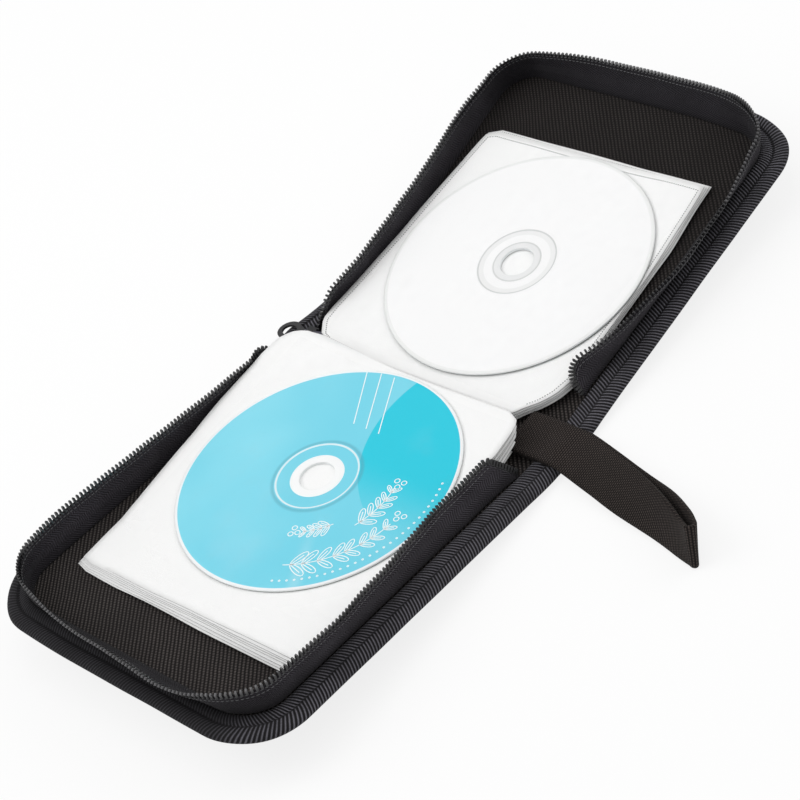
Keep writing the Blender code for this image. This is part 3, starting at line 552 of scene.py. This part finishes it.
def binding(name, side):
    """Ribbed tape round the cover's edge, puffed and wavy, with painted shade at the front's end.
    """
    rails = [rim(inset, 0.0, 90) for inset, height in BIND_SECTION]
    across = lengths_along(BIND_SECTION)
    along = lengths_along([p[:2] for p in rails[8]])

    def place(i, j):
        u, y, nu, ny = rails[j][i]
        h = BIND_SECTION[j][1]
        on_top, on_roll = 1 < j < 14, 6 < j < 17
        if on_top:
            h += wobble(along[i], j * 0.8, side * 7.0, 17.0) * 0.35
        if on_roll:
            shift = wobble(along[i], 40.0, side * 3.0, 30.0) * 0.35
            u += nu * shift
            y += ny * shift
        return fold(side, u, y, h)

    obj = grid(name + "_binding_cloth", len(along) - 1, len(rails) - 1, place,
               lambda i, j: (along[i] * MM, across[j] * MM), "binding")
    # Painted shade: the binding is darker, with fainter ribs, towards the front's near end
    paint_shading(obj, lambda x, y: 1.0 - 0.78 * ease((-x - 138) / 26) * ease((y + 78) / 22))
    bend_at_fold(obj)
    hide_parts(name + "_binding")


def cover_cloth(name, side, kind):
    """Lining or outer cloth of a half, from the middle of the spine to under the binding."""
    part, inset, height, waves = CLOTH[kind]
    edge = rim(inset, 0.0, 60)

    def flat(i, j):
        a, b = edge[i], edge[-1 - i]
        t = j / CLOTH_ROWS
        return a[0] + (b[0] - a[0]) * t, a[1] + (b[1] - a[1]) * t

    def place(i, j):
        u, y = flat(i, j)
        h = height + wobble(u, y, side * 5.0 + height, 34.0) * waves
        return fold(side, u, y, h)

    def uv(i, j):
        u, y = flat(i, j)
        return side * u * MM, y * MM

    obj = grid(f"{name}_{kind}_cloth", len(edge) // 2, CLOTH_ROWS, place, uv, kind)
    bend_at_fold(obj)
    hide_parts(f"{name}_{part}")


def smooth_path(values, count):
    """Smooth line through the points of values, at count even steps."""
    array = np.array(values, float)
    if array.ndim == 1:
        array = array[:, None]
    last = len(values) - 1
    out = []
    for t in np.linspace(0.0, 1.0, count):
        k = min(int(t * last), last - 1)
        f = t * last - k
        p = [array[min(max(k + d, 0), last)] for d in (-1, 0, 1, 2)]
        out.append(0.5 * (2 * p[1] + (p[2] - p[0]) * f
                          + (2 * p[0] - 5 * p[1] + 4 * p[2] - p[3]) * f * f
                          + (3 * p[1] - p[0] - 3 * p[2] + p[3]) * f ** 3))
    return np.array(out)


class Wall:
    """Foot line of a half's zip wall, and its lean by the distance s along that line."""

    def __init__(self, side):
        foot = rim(BRIM, FOLD_X + WALL_START[0], 24, 10, 14, FOLD_X + WALL_START[1])
        self.s = lengths_along([p[:2] for p in foot])
        self.length = self.s[-1]
        self.table = np.array(foot)
        samples = 300
        self.keys = np.linspace(0.0, self.length, samples)
        self.leans = smooth_path(LEAN[side], samples)[:, 0]

    def foot(self, s):
        """The foot's (u, y) and outward normal at s."""
        return [float(np.interp(s, self.s, self.table[:, k])) for k in range(4)]

    def lean(self, s):
        return math.radians(float(np.interp(s, self.keys, self.leans)))


# Ends of each wall: where the tape starts on the strap side, how it rises there over RISE,
# its extra lean, how far before the slider side's end it gives way to the ramp, where the
# ramp's foot ends (y), and the ramp's upper edge down to the slider as (u, y, h)
RISE = 9.5
ENDS = {
    -1: {"start": -6.2, "corner": "slant", "tuck": 0.0, "stop": 3.0, "foot": 69.5,
         "ramp": [(20.5, 70.9, 16.4), (16.4, 71.4, 15.3), (12.5, 71.0, 12.0), (9.5, 69.5, 8.2),
                  (7.4, 67.6, 5.6)]},
    1: {"start": 1.0, "corner": "round", "tuck": -22.0, "stop": 7.5, "foot": 67.5,
        "ramp": [(26.3, 69.8, 15.9), (22.6, 69.4, 14.3), (18.5, 68.8, 11.6), (14.5, 68.0, 8.6),
                 (11.0, 66.9, 6.3), (8.6, 65.9, 5.0)]},
}


def wall_columns(side):
    """Lower and upper ends (u, y, h) of the tape's columns, with the ramps to the slider."""
    wall = Wall(side)
    spec = ENDS[side]
    stop = wall.length - spec["stop"]
    low, high = [], []

    def column(s, w):
        u, y, nu, ny = wall.foot(s)
        u += min(s, 0.0)
        angle = wall.lean(s) + math.radians(spec["tuck"]) * math.exp(-(s / 12.0) ** 2)
        low.append(Vector((u, y, FOOT_Z - 0.3)))
        out = w * math.sin(angle)
        high.append(Vector((u + nu * out, y + ny * out, FOOT_Z + w * math.cos(angle))))

    full = WALL_W + 0.4
    start = spec["start"]
    for s in np.concatenate((np.linspace(start, start + RISE, 14),
                             np.linspace(start + RISE, stop, 250)[1:])):
        s = float(s)
        t = min((s - start) / RISE, 1.0)
        if spec["corner"] == "round":
            w = full * math.sqrt(max(1 - (1 - t) ** 2, 0.0))
        else:
            w = full * min(t * 1.08, 1.0) ** 0.8
        column(s, max(w, 1.2))
    end_low, end_high = low[-1].copy(), high[-1].copy()
    ramp = smooth_path([tuple(end_high), *spec["ramp"]], 46)[1:]
    reach = end_high.x - ramp[-1][0]
    for p in ramp:
        share = (end_high.x - p[0]) / reach
        low.append(Vector((p[0], end_low.y + (spec["foot"] - end_low.y) * share ** 2,
                           min(FOOT_Z + 0.2, p[2] - 0.6))))
        high.append(Vector(p))
    return low, high


def zip_tape(name, side):
    """Standing tape of a half's zip, with its teeth and stitches."""
    low, high = wall_columns(side)
    along = lengths_along(low, 0.05)
    outs = []
    for k in range(len(low)):
        a, b = low[max(k - 2, 0)], low[min(k + 2, len(low) - 1)]
        run = (b - a).normalized()
        outs.append(run.cross(Vector((0, 0, 1))).normalized())

    def local(i, j):
        t = j / TAPE_ROWS
        p = low[i].lerp(high[i], t)
        tall = (high[i] - low[i]).length
        bow = WALL_BOW * math.sin(math.pi * t) * min(tall / WALL_W, 1.0)
        ripple = math.sin(math.pi * t) * wobble(along[i], t * 6.0, side * 9.0, 13.0) * 0.8
        edge = wobble(along[i], 30.0, side * 4.0, 16.0) * 0.35 * t * t
        p = p + outs[i] * (bow + ripple + edge)
        if j == 0:
            p = p + outs[i] * -0.9
        return p

    def place(i, j):
        return fold(side, *local(i, j))

    def height(i, j):
        return (high[i] - low[i]).length * j / TAPE_ROWS * MM

    obj = grid(name + "_zip_tape_cloth", len(low) - 1, TAPE_ROWS, place,
               lambda i, j: (along[i] * MM, height(i, j)), "zip_tape", thickness=TAPE_T)
    # Painted shade: the tape is painted darker towards each half's far end and a little lighter
    # elsewhere
    paint_shading(obj, lambda x, y: 1.15 - 0.75 * ease((side * x - 135) / 30))
    bend_at_fold(obj)
    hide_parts(name + "_zip_tape")
    edge = [fold(side, *local(i, TAPE_ROWS)) for i in range(len(low))]
    under = [fold(side, *local(i, TAPE_ROWS - 2)) for i in range(len(low))]
    foot = [fold(side, *low[i]) for i in range(len(low))]
    coil(name, side, edge, foot)
    stitches(name, edge, under)


def coil(name, side, edge, foot):
    """Teeth of the zip: one prong for each pitch, square to the tape's edge."""
    lengths = lengths_along(edge)
    edge_at = reader(edge, lengths)
    foot_at = reader(foot, lengths)
    bm = bmesh.new()
    close, wide = TOOTH_PITCH
    places = [0.5]
    while places[-1] < lengths[-1] - 0.7:
        places.append(places[-1] + close + (wide - close) * ease((places[-1] - 10.0) / 8.0))
    for s in places:
        p = edge_at(s)
        run = (edge_at(s + 0.8) - edge_at(s - 0.8)).normalized()
        inner = p - foot_at(s)
        across = run.cross(inner).normalized()
        up = across.cross(run).normalized()
        if up.dot(inner) < 0:
            up = -up
        # At the back half's far end the teeth lie flatter, so that they show shorter
        short = 1.0
        if side > 0:
            short -= 0.45 * ease((p.x - 145) / 15) * ease((p.y + 62) / 20)
        rings = []
        for half in (-PRONG_HALF, PRONG_HALF):
            rings.append([bm.verts.new((p + run * a + up * b * short + across * half
                                        * (1.0 if b < 1.5 else PRONG_TIP)) * MM)
                          for a, b in PRONG])
        n = len(PRONG)
        for i in range(n):
            j = (i + 1) % n
            bm.faces.new((rings[0][i], rings[0][j], rings[1][j], rings[1][i]))
        bm.faces.new(rings[0][::-1])
        bm.faces.new(rings[1])
    bmesh.ops.recalc_face_normals(bm, faces=bm.faces)
    bm.verts.index_update()
    # The tips get painted highlights, brightest at the front's free end and along the back; the
    # roots stay dark as painted shade
    highlight_layer = bm.verts.layers.float.new("tip")
    for vert in bm.verts:
        x, y = vert.co.x / MM, vert.co.y / MM
        painted_highlight = 0.9 if side > 0 and x > 120 else 0.35
        painted_highlight = max(painted_highlight, ease((-x - 140) / 20) * ease((66 - y) / 20))
        vert[highlight_layer] = painted_highlight if vert.index % len(PRONG) > 1 else 0.0
    obj = from_bmesh(bm, name + "_zip_coil", "teeth")
    bend_at_fold(obj)
    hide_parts(name + "_zip_teeth")


def stitches(name, edge, under):
    """Rows of thread stitches just under the teeth, on both faces of the tape."""
    bm = bmesh.new()
    lengths = lengths_along(edge)
    edge_at = reader(edge, lengths)
    under_at = reader(under, lengths)
    s = 6.0
    while s < lengths[-1] - 3.0:
        a, b = edge_at(s), edge_at(s + STITCH_RUN)
        down = under_at(s) - a
        run = (b - a).normalized()
        if down.length > 1.0:
            down.normalize()
            out = run.cross(down).normalized()
            for face in (-1, 1):
                for drop in STITCH_DROPS:
                    start = a + down * drop + out * face * 0.42
                    ring = []
                    for t, size, swell in ((0.0, 0.1, 0.0), (STITCH_RUN / 2, 0.2, 0.12),
                                           (STITCH_RUN, 0.1, 0.0)):
                        p = start + run * t + out * face * swell
                        ring.append([bm.verts.new((p + down * size * dy + out * face * size * dz)
                                                  * MM) for dy, dz in ((-1, 0), (0, 1), (1, 0))])
                    for p, q in zip(ring, ring[1:]):
                        for k in range(2):
                            bm.faces.new((p[k], q[k], q[k + 1], p[k + 1]))
        s += STITCH_PITCH
    obj = from_bmesh(bm, name + "_tape_stitches", "thread")
    bend_at_fold(obj)


# Sleeves

def plane_height(side, u):
    """Height of the top sheet, which rises again beyond the disc."""
    height, slope, at = TOP[side]
    beyond = max(u - at - DISC_R, 0.0)
    return height + slope * (at - u + beyond) + END_LIFT * beyond


def disc_share(side, u, y, start=57.0, width=14.0):
    """0 over the disc, rising to 1 away from it."""
    return ease((math.hypot(u - TOP[side][2], y - DISC_Y[side]) - start) / width)


CORNERS = {
    # Extra height of the top sheet at: spine strap side, spine slider side, outer strap
    # side, outer slider side
    -1: (1.5, 5.0, 2.6, -2.6),
    1: (0.4, 0.8, 1.8, 0.6),
}


def corner_lift(side, t, v):
    """Extra height of the top sheet, t of the way out and v of the way to the slider side."""
    c = CORNERS[side]
    return (c[0] * (1 - t) ** 2 * (1 - v) ** 2 + c[1] * (1 - t) ** 2.2 * v ** 3
            + c[2] * t ** 3 * (1 - v) ** 2 + c[3] * t ** 3 * v ** 2)


EDGES = {
    # Outline of the leaves (u, y) from the strap side of the spine, round the outer end to
    # the slider side; each half's top leaf
    -1: {"strap": [(1.0, -55.0), (4.0, -62.0), (9.0, -63.5), (14.0, -64.5), (22.0, -66.0),
                   (60.0, -66.5), (100.0, -67.0), (139.5, -67.5)],
         "slide": [(1.0, 46.0), (1.5, 58.0), (4.5, 64.0), (10.0, 67.5), (20.0, 68.5),
                   (50.0, 67.0), (100.0, 62.0), (139.5, 57.5)]},
    1: {"strap": [(4.0, -52.0), (8.5, -55.5), (14.0, -60.5), (20.0, -64.0), (28.0, -66.3),
                  (60.0, -65.0), (100.0, -63.5), (132.2, -60.5)],
        "slide": [(4.0, 47.0), (8.0, 59.0), (14.5, 63.6), (22.0, 63.9), (40.0, 62.8),
                  (65.0, 61.6), (100.0, 60.6), (131.6, 58.5)]},
}
LEAVES = {-1: 7, 1: 4}
STEP = {-1: 0.75, 1: 0.9}        # each leaf reaches this much further than the one above


def leaf(name, side, k):
    """One leaf of the stack, k from 0 at the bottom; its free edges wave on their own."""
    rnd = random.Random(side * 100 + k)
    count = LEAVES[side]
    from_top = count - 1 - k
    reach = from_top * STEP[side]
    strap = EDGES[side]["strap"]
    slide = EDGES[side]["slide"]
    seed = side * 50.0 + k * 13.0
    end_shift = rnd.uniform(-0.5, 0.7)

    def line(points, t):
        keys = np.linspace(0.0, 1.0, len(points))
        lengths = lengths_along(points)
        at = np.interp(t * lengths[-1], lengths, keys)
        return [float(np.interp(at, keys, [p[c] for p in points])) for c in (0, 1)]

    def place(i, j):
        t = i / LEAF_COLUMNS
        v = j / LEAF_ROWS
        a = line(strap, t)
        b = line(slide, t)
        u = a[0] + (b[0] - a[0]) * v
        y = a[1] + (b[1] - a[1]) * v
        # The free end reaches out, waves and falls short at its slider-side corner
        edge = (abs(v - 0.5) * 2) ** 8
        end = t ** 10
        u += end * (reach + end_shift * 0.5) + end * wobble(y, seed, 0.0, 30.0) * 0.5
        u -= end * (3.0 if side > 0 else 1.5) * max((v - 0.95) / 0.05, 0.0)
        # Both sides wave, and lower leaves are narrower at the spine and wider at the end
        fan = 0.32 if v < 0.5 else 0.12
        y += (v - 0.5) * 2 * edge * (wobble(u, seed, 5.0, 22.0) * 0.6 - from_top * fan * (1 - t))
        y += (v - 0.5) * 2 * edge * from_top * fan * t * 1.3
        # Crumpled where it is sewn
        inner = (1 - t) ** 8
        y += inner * wobble(seed, v * 3.0, 1.0, 1.3) * 1.2 * edge
        # Its height lies between the lining and the top sheet, which is flat under the disc
        top = plane_height(side, u)
        share = disc_share(side, u, y)
        top += share * corner_lift(side, t, v)
        floor = FOLD_Z + 0.5 + 0.22 * k
        level = (k + 1) / count
        bulge = wobble(u, y, seed, 30.0) * 0.35 * share
        h = floor + (top - floor) * level ** (1.0 if side < 0 else 0.8) + bulge
        if k < count - 1:
            h = min(h, top - 0.3 * from_top)
        h = max(h, floor)
        if k == count - 1:
            h = top + 0.1 * share * wobble(u, y, seed, 9.0)
        near = max(FOLD_X - u, 0.0) * math.tan(TILT)
        return cover_point(side, u, y, max(h, FOLD_Z + 0.4 + near))

    obj = grid(f"{name}_leaf_{k}", LEAF_COLUMNS, LEAF_ROWS, place,
               lambda i, j: (i / LEAF_COLUMNS * SLEEVE_UV, j / LEAF_ROWS * SLEEVE_UV),
               "nonwoven", thickness=LEAF_T, offset=-1.0)
    # Painted shade: the leaves' cut edges are grey, giving dark lines between the leaves
    obj.data.materials.append(MATERIALS["leaf_edge_shade"])
    obj.modifiers[0].material_offset_rim = 1
    bend_at_root(obj)
    return obj, place


def bend_at_root(obj):
    """A leaf stays sewn at the spine; its transform is baked into its mesh."""
    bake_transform(obj)


def weld_dots(name, side, k, place):
    """Small weld marks along the three outer edges of the top leaf, or another's outer end, where
    they are also painted shade between the leaves.
    """
    bm = bmesh.new()

    def at(t, v):
        return place(t * LEAF_COLUMNS, v * LEAF_ROWS)

    def mark(p, along, across, size):
        up = along.cross(across).normalized()
        if up.z < 0:
            up = -up
        base = p + up * MARK_UP
        corners = [base + along * size[0] * a + across * size[1] * b
                   for a, b in ((-1, -1), (1, -1), (1, 1), (-1, 1))]
        bm.faces.new([bm.verts.new(c * MM) for c in corners])

    lines = []
    if k == LEAVES[side] - 1:
        for v in (0.012, 0.985):
            lines.append([(t, v) for t in np.linspace(0.06, 0.985, 110)])
        # Where the end's line is, and half a mark's length and width
        end, size = (0.991 if side < 0 else 0.985), (0.3, 0.26)
    else:
        # Lower leaves: thin weld marks that also serve as painted shade in the gaps between
        # leaves
        end, size = 0.9975, (0.34, 0.14)
    lines.append([(end, v) for v in np.linspace(0.02, 0.98, 100)])
    for line in lines:
        points = [at(*p) for p in line]
        for a, b, uv in zip(points, points[1:], line):
            along = (b - a).normalized()
            inner = at(min(max(uv[0] - 0.02, 0.0), 1.0), 0.5 + (uv[1] - 0.5) * 0.97)
            across = inner - a
            across -= along * across.dot(along)
            if across.length < 1e-6:
                continue
            across.normalize()
            mark(a.lerp(b, 0.5) + across * MARK_IN, along, across, size)
    obj = from_bmesh(bm, f"{name}_weld_marks_{k}", "weld")
    bend_at_root(obj)


def disc_point(side, x, y, lift=0.0):
    """World place of a point (x, y) on the disc's top face, measured from its middle."""
    height, slope, at = TOP[side]
    a = math.atan(slope)
    up = lift + DISC_T
    u = at + x * side * math.cos(a) + up * math.sin(a)
    h = height + DISC_GAP + up * math.cos(a) - x * side * math.sin(a)
    return cover_point(side, u, DISC_Y[side] + y, h)


def disc(name, side, material):
    """Turned disc with a rounded rim and the groove and ring round its hub."""
    profile = [(7.5, -DISC_T), (7.5, -0.05), (7.7, 0.0), (10.9, 0.0), (11.2, -0.12),
               (11.5, 0.0), (16.9, 0.0), (17.4, 0.16), (17.9, 0.16), (18.4, 0.0),
               (19.4, -0.06), (20.4, 0.0), (38.0, 0.0), (58.6, 0.0), (59.6, -0.02),
               (DISC_R, -0.2), (DISC_R, -0.7), (59.95, -1.0), (59.7, -DISC_T)]

    def flat(i, j):
        r = profile[j][0]
        a = -2 * math.pi * i / DISC_STEPS
        return r * math.cos(a), r * math.sin(a)

    def place(i, j):
        return disc_point(side, *flat(i, j), profile[j][1])

    def uv(i, j):
        x, y = flat(i, j)
        return x * MM, y * MM

    obj = grid(name + "_disc_face", DISC_STEPS, len(profile) - 1, place, uv, material)
    obj.data.materials.append(MATERIALS["disc_edge"])
    obj.data.materials.append(MATERIALS["disc_under_shade"])
    # Painted shade: the lower rim is dark grey, as a shadow line under the disc's edge
    for poly in obj.data.polygons:
        ring = poly.index // DISC_STEPS
        if ring >= len(profile) - 3:
            poly.material_index = 2
        elif ring == len(profile) - 4 or ring == 0:
            poly.material_index = 1
    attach(obj, name + "_pages")
    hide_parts(name + "_disc")


def ribbon(bm, side, points, width, lift=0.03):
    """Flat line through points (x, y) on the disc."""
    points = [Vector(p) for p in points]
    rows = []
    for k, p in enumerate(points):
        a = points[max(k - 1, 0)]
        b = points[min(k + 1, len(points) - 1)]
        d = (b - a).normalized()
        n = Vector((-d.y, d.x)) * width / 2
        rows.append([bm.verts.new(disc_point(side, *(p + n), lift) * MM),
                     bm.verts.new(disc_point(side, *(p - n), lift) * MM)])
    for a, b in zip(rows, rows[1:]):
        bm.faces.new((a[0], a[1], b[1], b[0]))


def circle(cx, cy, radius, steps):
    out = []
    for k in range(steps + 1):
        a = 2 * math.pi * (k / steps)
        out.append((cx + radius * math.cos(a), cy + radius * math.sin(a)))
    return out


def petal(cx, cy, angle, length, width):
    """Closed outline of a petal or leaf pointing along angle."""
    c, s = math.cos(angle), math.sin(angle)
    out = []
    for k in range(15):
        t = 2 * math.pi * k / 14
        x = length * (1 - math.cos(t)) / 2
        y = width / 2 * math.sin(t) * (0.7 + 0.3 * (1 - math.cos(t)) / 2)
        out.append((cx + x * c - y * s, cy + x * s + y * c))
    return out


def sprig(lines, stem, leaves, size, lean):
    """A stem with pairs of pointed leaves that get smaller towards its tip."""
    lines.append(stem)
    for k in range(leaves):
        share = (k + 0.6) / leaves
        at = min(int(share * (len(stem) - 1)), len(stem) - 2)
        p, q = Vector(stem[at]), Vector(stem[at + 1])
        heading = math.atan2(q.y - p.y, q.x - p.x)
        long = size * (1.0 - 0.45 * share)
        for turn in (lean, -lean):
            angle = heading + turn
            lines.append(petal(p.x, p.y, angle, long, long * 0.4))
            lines.append([(p.x, p.y), (p.x + long * 0.75 * math.cos(angle),
                                       p.y + long * 0.75 * math.sin(angle))])


def arc(radius, angles):
    """Points on a circle about the disc's middle, at angles in degrees."""
    return [(radius * math.cos(math.radians(a)), radius * math.sin(math.radians(a)))
            for a in angles]


def blue_disc_print():
    """Plain generic decoration: three rules, leafy sprigs along the rim, berries and dots."""
    bm = bmesh.new()
    side = -1
    start, rise = 29.0, 8.0
    for y in (14.0, 7.0, 0.0):
        far = math.sqrt(57.0 ** 2 - y * y)
        rule = [(start, y - rise), (start + (far - start) * 0.5, y), (far, y + rise)]
        ribbon(bm, side, rule, 0.45)
    lines = []
    sprig(lines, arc(47.0, np.linspace(206.0, 262.0, 30)), 8, 9.0, 0.75)
    sprig(lines, arc(36.0, np.linspace(248.0, 284.0, 30)), 5, 7.5, 0.8)
    sprig(lines, arc(30.0, np.linspace(236.0, 212.0, 30)), 4, 6.0, 0.8)
    for cx, cy in ((9.8, -35.6), (12.3, -33.4), (12.6, -36.8), (-26.8, -14.2), (-28.6, -12.0),
                   (-25.4, -11.4), (-3.5, -46.9), (-1.2, -49.0), (-1.0, -45.4)):
        lines.append(circle(cx, cy, 1.1, 12))
    for x, y in arc(55.0, np.arange(204.0, 292.0, 3.2)):
        lines.append(circle(x, y, 0.35, 8))
    for line in lines:
        if max(math.hypot(*p) for p in line) < 58.6:
            ribbon(bm, side, line, 0.42)
    obj = from_bmesh(bm, "front_disc_ornament", "ink")
    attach(obj, "front_pages")


def window(name, side):
    """Clear film of the top sleeve, welded at its edges and lying over the disc."""
    edges = EDGES[side]
    columns, rows = 40, 40
    u0 = edges["strap"][0][0] + 5.0
    u1 = edges["strap"][-1][0] - 1.2
    y0 = max(p[1] for p in edges["strap"][3:]) + 0.5
    y1 = min(p[1] for p in edges["slide"][3:]) - 0.5

    def place(i, j):
        u = u0 + (u1 - u0) * i / columns
        y = y0 + (y1 - y0) * j / rows
        v = (y - y0) / (y1 - y0)
        t = (u - u0) / (u1 - u0)
        lift = disc_share(side, u, y) * corner_lift(side, t, v)
        over = 1 - disc_share(side, u, y, DISC_R, 8.0)
        h = plane_height(side, u) + lift + 0.25 + 1.9 * over
        h += wobble(u, y, side * 3.0, 26.0) * 0.25 * over
        return cover_point(side, u, y, h)

    obj = grid(name + "_window_film", columns, rows, place,
               lambda i, j: (i / columns * SLEEVE_UV, j / rows * SLEEVE_UV), "film")
    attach(obj, name + "_pages")
    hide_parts(name + "_window")
    obj.visible_shadow = False


# Strap: a folded band, flat where it is sewn and on edge at its tip. Each layer is given by
# its two edges; the near layer lies on top.
STRAP_T = 1.3
STRAP_W = 20.0
NEAR_UP = [(10.2, -58.0, 5.9), (10.2, -70.0, 6.1), (9.9, -80.0, 6.5), (9.2, -88.0, 6.3),
           (4.6, -104.0, 8.3), (-2.6, -124.0, 11.8), (-10.4, -141.0, 15.2), (-17.2, -153.6, 16.0),
           (-20.4, -158.9, 18.8)]
NEAR_LOW = [(-10.2, -58.0, 5.9), (-10.2, -70.0, 6.1), (-10.3, -80.0, 6.5), (-10.8, -87.0, 5.2),
            (-13.4, -101.0, 3.0), (-17.2, -119.0, 1.9), (-20.0, -139.0, 1.1),
            (-23.2, -153.0, 0.8), (-24.4, -159.0, 0.8)]
FAR_UP = [(10.4, -58.0, 4.4), (10.4, -70.0, 4.6), (10.4, -80.0, 5.0), (10.8, -87.0, 4.6),
          (6.4, -104.0, 6.4), (0.2, -124.0, 9.4), (-5.8, -141.0, 13.4), (-12.0, -153.6, 15.8),
          (-16.4, -160.2, 17.2)]
FAR_LOW = [(-10.0, -58.0, 4.4), (-10.0, -70.0, 4.6), (-10.0, -80.0, 5.0), (-9.6, -87.0, 3.7),
           (-11.4, -101.0, 1.5), (-14.4, -119.0, 0.8), (-16.6, -139.0, 0.8),
           (-19.6, -153.0, 0.8), (-21.8, -159.8, 0.8)]


def strap():
    """One band of webbing along the near layer, round its turn and back along the far one."""
    count = 90
    near = [smooth_path(e, count) for e in (NEAR_LOW, NEAR_UP)]
    far = [smooth_path(e, count) for e in (FAR_LOW, FAR_UP)]
    loop = [(near[0][k], near[1][k]) for k in range(count)]
    turn = 9
    for k in range(1, turn):
        a = math.pi * k / turn
        pair = []
        for n, f, tip in ((near[0][-1], far[0][-1], (-0.9, -2.0, -0.3)),
                          (near[1][-1], far[1][-1], (-0.9, -1.6, 0.4))):
            middle = n + (f - n) * (0.5 - 0.5 * math.cos(a))
            pair.append(middle + np.array(tip) * math.sin(a))
        loop.append(tuple(pair))
    loop += [(far[0][k], far[1][k]) for k in range(count - 1, -1, -1)]
    rows = 12
    along = [0.0]
    for a, b in zip(loop, loop[1:]):
        along.append(along[-1] + float(np.linalg.norm((a[0] + a[1] - b[0] - b[1]) / 2)))

    def place(i, j):
        low, high = loop[i]
        t = j / rows
        p = Vector(low + (high - low) * t)
        nxt = loop[min(i + 1, len(loop) - 1)]
        prev = loop[max(i - 1, 0)]
        run = Vector(nxt[0] - prev[0]).normalized()
        face = run.cross(Vector(high - low)).normalized()
        wave = 0.45 * wobble(along[i], t * 12.0, 3.0, 24.0)
        # Flat where it is sewn down
        free = min(max((-86.0 - p.y) / 30.0, 0.0), 1.0)
        return p + face * wave * free

    obj = grid("strap_webbing", len(loop) - 1, rows, place,
               lambda i, j: (along[i] * MM, j / rows * STRAP_W * MM), "webbing",
               thickness=STRAP_T)
    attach(obj, "spine")
    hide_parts("strap_handle")


# Build
for name, side in SIDE.items():
    binding(name, side)
    cover_cloth(name, side, "lining")
    cover_cloth(name, side, "outer")
    zip_tape(name, side)
    count = LEAVES[side]
    for k in range(count):
        top, place = leaf(name, side, k)
        if k == 0:
            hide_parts(name + "_sleeves")
        if k >= count - WELD_FROM_TOP:
            weld_dots(name, side, k, place)
    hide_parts(name + "_top_sleeve")
    disc(name, side, "blue_print" if side < 0 else "white_print")
    window(name, side)
blue_disc_print()
strap()
# The halves' cloths meet on the spine, so between them they also replace its own
for cloth, node in {"front_lining_cloth": "spine_lining",
                    "front_outer_cloth": "spine_outer_fabric",
                    "front_binding_cloth": "spine_binding_strap_side",
                    "back_binding_cloth": "spine_binding_slider_side"}.items():
    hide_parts(node)

# Floor, light and camera
floor_mesh = bpy.data.meshes.new("floor")
floor_mesh.from_pydata([(-3, -3, 0), (3, -3, 0), (3, 3, 0), (-3, 3, 0)], [], [(0, 1, 2, 3)])
floor = bpy.data.objects.new("floor", floor_mesh)
floor.location.z = -0.0003
link(floor)


def floor_material():
    """White paper sweep: the camera sees mostly plain white with the object's faint shadow."""
    n = Nodes("floor_white")
    n.set(colour=(0.95, 0.95, 0.95), rough=0.9, spec=0.0)
    glow = n.node("ShaderNodeEmission")
    glow.inputs["Color"].default_value = (1.0, 1.0, 1.0, 1.0)
    glow.inputs["Strength"].default_value = 1.0
    path = n.node("ShaderNodeLightPath")
    seen = n.math("MAXIMUM", path.outputs["Is Camera Ray"],
                  n.math("MAXIMUM", path.outputs["Is Glossy Ray"],
                         path.outputs["Is Transmission Ray"]))
    mix = n.node("ShaderNodeMixShader")
    n.put(n.times(seen, 0.82), mix.inputs[0])
    n.tree.links.new(n.shader.outputs[0], mix.inputs[1])
    n.tree.links.new(glow.outputs[0], mix.inputs[2])
    n.tree.links.new(mix.outputs[0], n.out.inputs["Surface"])
    return n.mat


floor_mesh.materials.append(floor_material())

world = bpy.data.worlds.new("studio")
scene.world = world
world.use_nodes = True
background = world.node_tree.nodes["Background"]
background.inputs["Color"].default_value = (1.0, 1.0, 1.0, 1.0)
background.inputs["Strength"].default_value = 0.58


def area(name, place, size, power):
    """Square light that faces the spine's middle; its place and size in metres."""
    light = bpy.data.lights.new(name, "AREA")
    light.energy = power
    light.size = size
    obj = bpy.data.objects.new(name, light)
    obj.location = place
    obj.rotation_mode = "QUATERNION"
    obj.rotation_quaternion = Vector(place).to_track_quat("Z", "Y")
    link(obj)


area("key", (-0.6, 0.7, 1.1), 0.9, 6.3)
area("fill", (0.9, -0.5, 0.9), 0.8, 3.0)
area("top", (0.2, 0.1, 1.3), 0.7, 2.4)

# Camera, worked out from the discs' outlines and hubs in the photo
CAMERA_AT = (-387.36, -616.05, 642.15)
CAMERA_RIGHT = (0.62226, -0.71127, -0.32694)
CAMERA_UP = (0.67989, 0.28405, 0.67606)
camera = bpy.data.cameras.new("camera")
cam = bpy.data.objects.new("camera", camera)
link(cam)
right = Vector(CAMERA_RIGHT).normalized()
up = Vector(CAMERA_UP)
up = (up - right * up.dot(right)).normalized()
back = right.cross(up)
matrix = Matrix((right, up, back)).transposed().to_4x4()
matrix.translation = Vector(CAMERA_AT) * MM
cam.matrix_world = matrix
camera.sensor_width = 36.0
camera.lens = 106.22
camera.shift_x = 0.0164
camera.shift_y = 0.0105
camera.clip_start = 0.05
camera.clip_end = 20.0
scene.camera = cam
scene.view_settings.view_transform = "Standard"
